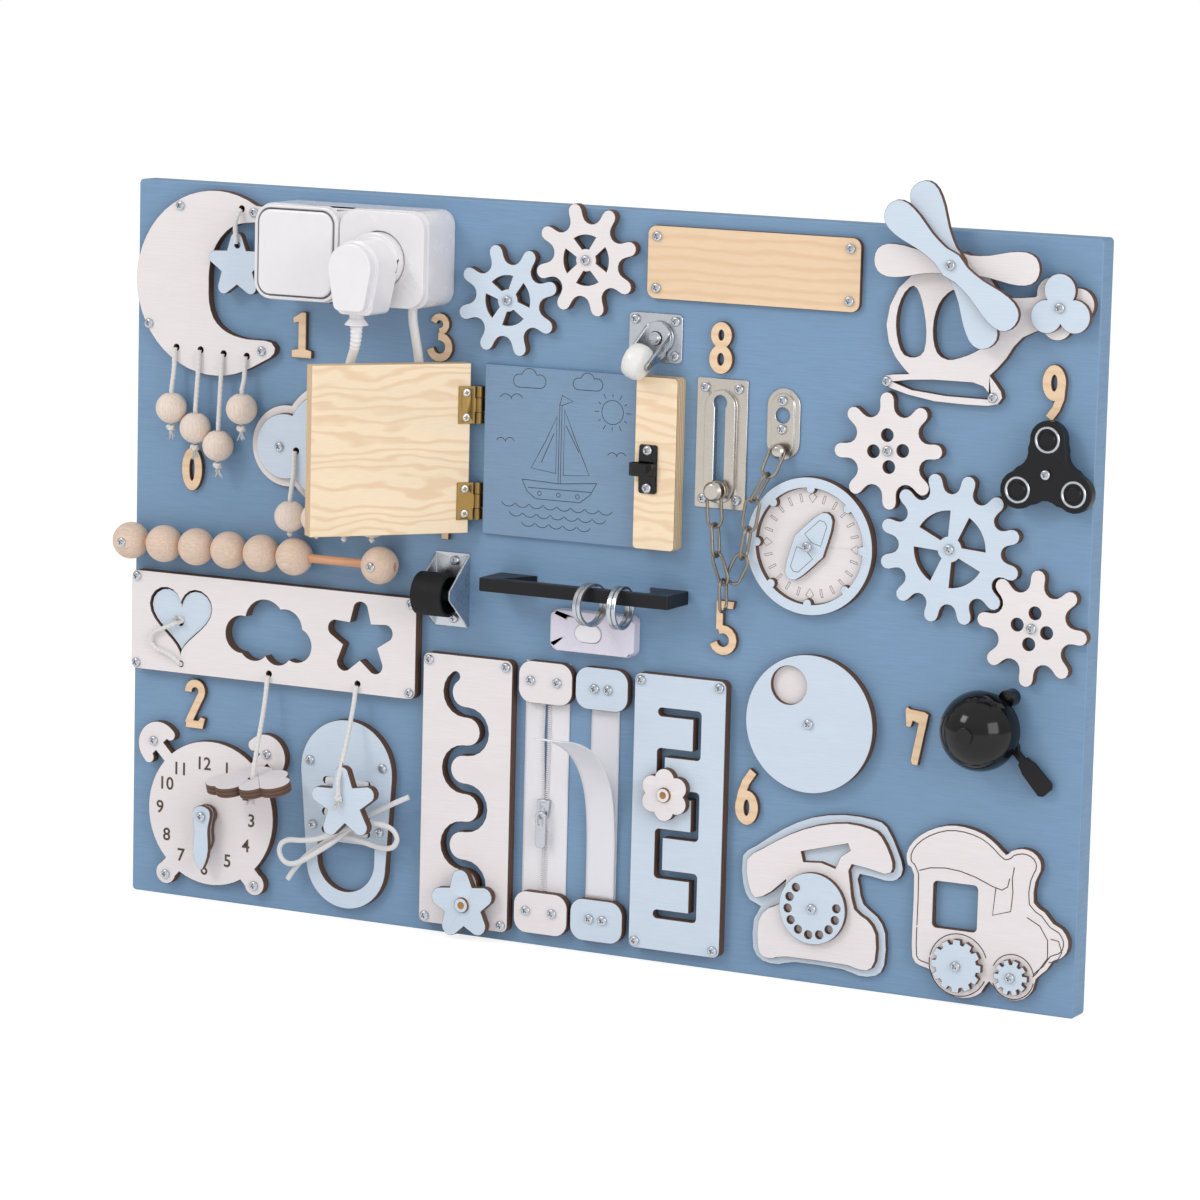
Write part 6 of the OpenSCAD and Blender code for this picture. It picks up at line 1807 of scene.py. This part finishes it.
@dataclass
class Mouldings:
    """Switch, socket, plug, push light, bell and the black fittings."""

    rocker_c: Place = (158.6, 483.0)
    rocker_half: float = 30.9
    rocker_corner: float = 9.9
    case_top: float = 44.0
    spinner_c: Place = (721.3, 368.0)
    lobe_r: float = 23.2

    def cases(self, island: Island) -> tuple[Look, Look]:
        """The switch case is white, the push light a little lilac."""
        look = Look.LIGHT if island.centre.x > 300 else Look.CASE
        return look, look

    def build(self) -> None:
        """Dresses the moulded pieces."""
        take_over("plastic_cases", self.cases, bevel=0.9, segments=3, cut=True)
        for node, choice, bevel, segments in (
                ("switch_rocker", both(Look.ROCKER), 1.3, 3), ("plug", both(Look.ROCKER), 1.0, 3),
                ("push_button", both(Look.BUTTON_CAP), 0.8, 3), ("black_fittings", self.fittings, 0.5, 2),
                ("bell_lever", both(Look.SATIN_BLACK), 0.5, 2), ("spinner", both(Look.SATIN_BLACK), 0.7, 2),
                ("bell", both(Look.GLOSS_BLACK), 0.3, 2)):
            take_over(node, choice, bevel, segments)
        self.bearings()
        self.paint_gap_shade()

    def fittings(self, island: Island) -> tuple[Look, Look]:
        """The handle is satin and the catch gloss."""
        look = Look.GLOSS_BLACK if island.centre.x > 415 else Look.SATIN_BLACK
        return look, look

    def bearings(self) -> None:
        """Steel rings and black caps on the spinner's three lobes."""
        outline = [(-0.4, 7.2), (0.5, 7.2), (0.9, 7.6), (0.9, 8.6), (0.5, 9.0), (-0.4, 9.0)]
        ring = Copies("spinner_rings", BODY["spinner"], Look.ZINC, lambda: lathe(outline, UP, Vector(), 40),
                      seed=6)
        caps = Copies("spinner_caps", BODY["spinner"], Look.GLOSS_BLACK, lambda: dome_cap(5.6, 1.2), seed=7)
        for k in range(3):
            x, y = polar(self.spinner_c, self.lobe_r, 90 + 120 * k)
            ring.facing_out(x, y, 15.3)
            caps.facing_out(x, y, 15.4)
        ring.build()
        caps.build()

    def paint_gap_shade(self) -> None:
        """Painted shade: a grey line drawn in the gap round the rocker, where shadow falls."""
        lines = Strokes("case_seams", BODY["plastic_cases"], Look.SEAM, self.case_top, 0.7)
        cx, cy = self.rocker_c
        half, r = self.rocker_half, self.rocker_corner
        corners = []
        for sx, sy, a0 in ((1, 1, 0), (-1, 1, 90), (-1, -1, 180), (1, -1, 270)):
            c = (cx + sx * (half - r), cy + sy * (half - r))
            corners += [polar(c, r, a0 + 15 * k) for k in range(7)]
        lines.add(corners, True)
        lines.build()


# ---------------------------------------------------------------- cloth tapes


@dataclass
class Tapes:
    """The zip's woven tapes with its teeth, and the touch strap that peels open."""

    zip_x: float = 345.0
    strap_x: float = 391.0
    half_zip: float = 17.5
    strap_w: float = 22.0
    low_y: float = 11
    run: float = 193
    face_h: float = 1.1
    tooth_pitch: float = 1.5
    teeth_from: float = 40.0
    teeth_to: float = 176

    def ribbon(self, name: str, left: Sequence[Sequence[float]], right: Sequence[Sequence[float]],
               thickness: float, look: Look, flat: Place) -> bpy.types.Object:
        """A strip of cloth between two lines of board places and heights.

        Args:
            name: The piece's name.
            left: Points of one long edge.
            right: Points of the other.
            thickness: Thickness in millimetres.
            look: Its finish.
            flat: Cut width and length in metres.

        Returns:
            The piece, with a Solidify modifier that gives it its thickness.
        """
        bm = bmesh.new()
        uv = bm.loops.layers.uv.new(UV_NAME)
        across = 8
        rows, run = [], [0.0]
        for k, (a, b) in enumerate(zip(left, right)):
            va, vb = at(*a), at(*b)
            rows.append([bm.verts.new(va.lerp(vb, i / across)) for i in range(across + 1)])
            if k:
                run.append(run[-1] + (va - at(*left[k - 1])).length)
        for k in range(len(rows) - 1):
            for i in range(across):
                face = bm.faces.new((rows[k][i], rows[k][i + 1], rows[k + 1][i + 1], rows[k + 1][i]))
                for loop, (r, c) in zip(face.loops, ((k, i), (k, i + 1), (k + 1, i + 1), (k + 1, i))):
                    loop[uv].uv = (c / across * flat[0], run[r])
        bm.normal_update()
        if sum(f.normal.dot(OUT) for f in bm.faces) < 0:
            bmesh.ops.reverse_faces(bm, faces=bm.faces)
        piece = show(name, to_mesh(name, bm), BODY["woven_tapes"], [look])
        solid = piece.modifiers.new("cloth", "SOLIDIFY")
        solid.thickness, solid.offset = thickness * MM, -1.0
        return piece

    def zip_edge(self, y: float, side: int) -> float:
        """Inner edge of a tape: shut below and parting above."""
        gaps = ((11, 0.4), (100, 0.4), (150, 2.2 if side < 0 else 1.4), (204, 1.0))
        for (y0, g0), (y1, g1) in zip(gaps, gaps[1:]):
            if y <= y1:
                return self.zip_x + side * (g0 + (g1 - g0) * (y - y0) / (y1 - y0))
        return self.zip_x + side

    def teeth(self) -> None:
        """The moulded teeth along both inner edges."""
        def tooth() -> bmesh.types.BMesh:
            """One tooth, its length across the tape."""
            bm = bmesh.new()
            bmesh.ops.create_cube(bm, size=1.0)
            for v in bm.verts:
                narrow = 0.7 if v.co.z > 0 else 1.0
                v.co = Vector((v.co.x * 0.0026, v.co.y * 0.0011 * narrow, v.co.z * 0.0014))
            return bm
        rows = Copies("zip_teeth", BODY["woven_tapes"], Look.CASE, tooth, seed=8)
        y = self.teeth_from
        while y < self.teeth_to:
            for side in (-1, 1):
                rows.facing_out(self.zip_edge(y, side) + side * 0.9, y + (0.7 if side > 0 else 0.0), 1.6)
            y += self.tooth_pitch
        rows.build()

    def build(self) -> None:
        """Makes tapes, teeth and strap."""
        ys = [self.low_y + self.run * k / 48 for k in range(49)]
        pieces = []
        for side, name in ((-1, "zip_tape_left"), (1, "zip_tape_right")):
            outer = [(self.zip_x + side * self.half_zip, y, self.face_h) for y in ys]
            inner = [(self.zip_edge(y, side), y, self.face_h) for y in ys]
            pair = (outer, inner) if side < 0 else (inner, outer)
            pieces.append(self.ribbon(name, *pair, 0.9, Look.TAPE, (0.0166, 0.193)))
        half = self.strap_w / 2
        low = [(self.strap_x - half, y, self.face_h) for y in ys]
        high = [(self.strap_x + half, y, self.face_h) for y in ys]
        pieces.append(self.ribbon("strap_base", low, high, 0.9, Look.LOOPS, (0.022, 0.193)))
        line = smoothed([(40, 0, 4.0), (60, 0, 4.0), (80, 0, 4.2), (100, 0, 6.0), (118, 0, 10.6),
                         (134, 0, 20.1), (147, 0, 34.4), (156, 0, 52.2), (162, 0, 71.2), (165, 0, 86.9)], 3.5)
        length = sum((b - a).length for a, b in zip(line, line[1:])) * MM
        left = [(self.strap_x - half, p.x, p.z) for p in line]
        right = [(self.strap_x + half, p.x, p.z) for p in line]
        pieces.append(self.ribbon("strap_tongue", left, right, 1.2, Look.LOOPS, (0.022, length)))
        for piece in pieces:
            stands_for(piece, "woven_tapes")
        self.teeth()


# ---------------------------------------------------------------- the whole


def main() -> None:
    """Builds the studio and every sub-assembly in order."""
    logging.basicConfig(level=logging.INFO, format="%(name)s: %(message)s")
    Studio().build()
    CordWork().build()
    PlyWork().build()
    Beads().build()
    Chain().build()
    MetalWork().build()
    Mouldings().build()
    Tapes().build()
    Fasteners().build()
    Drawings().build()
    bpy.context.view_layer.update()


if __name__ == "__main__":
    main()
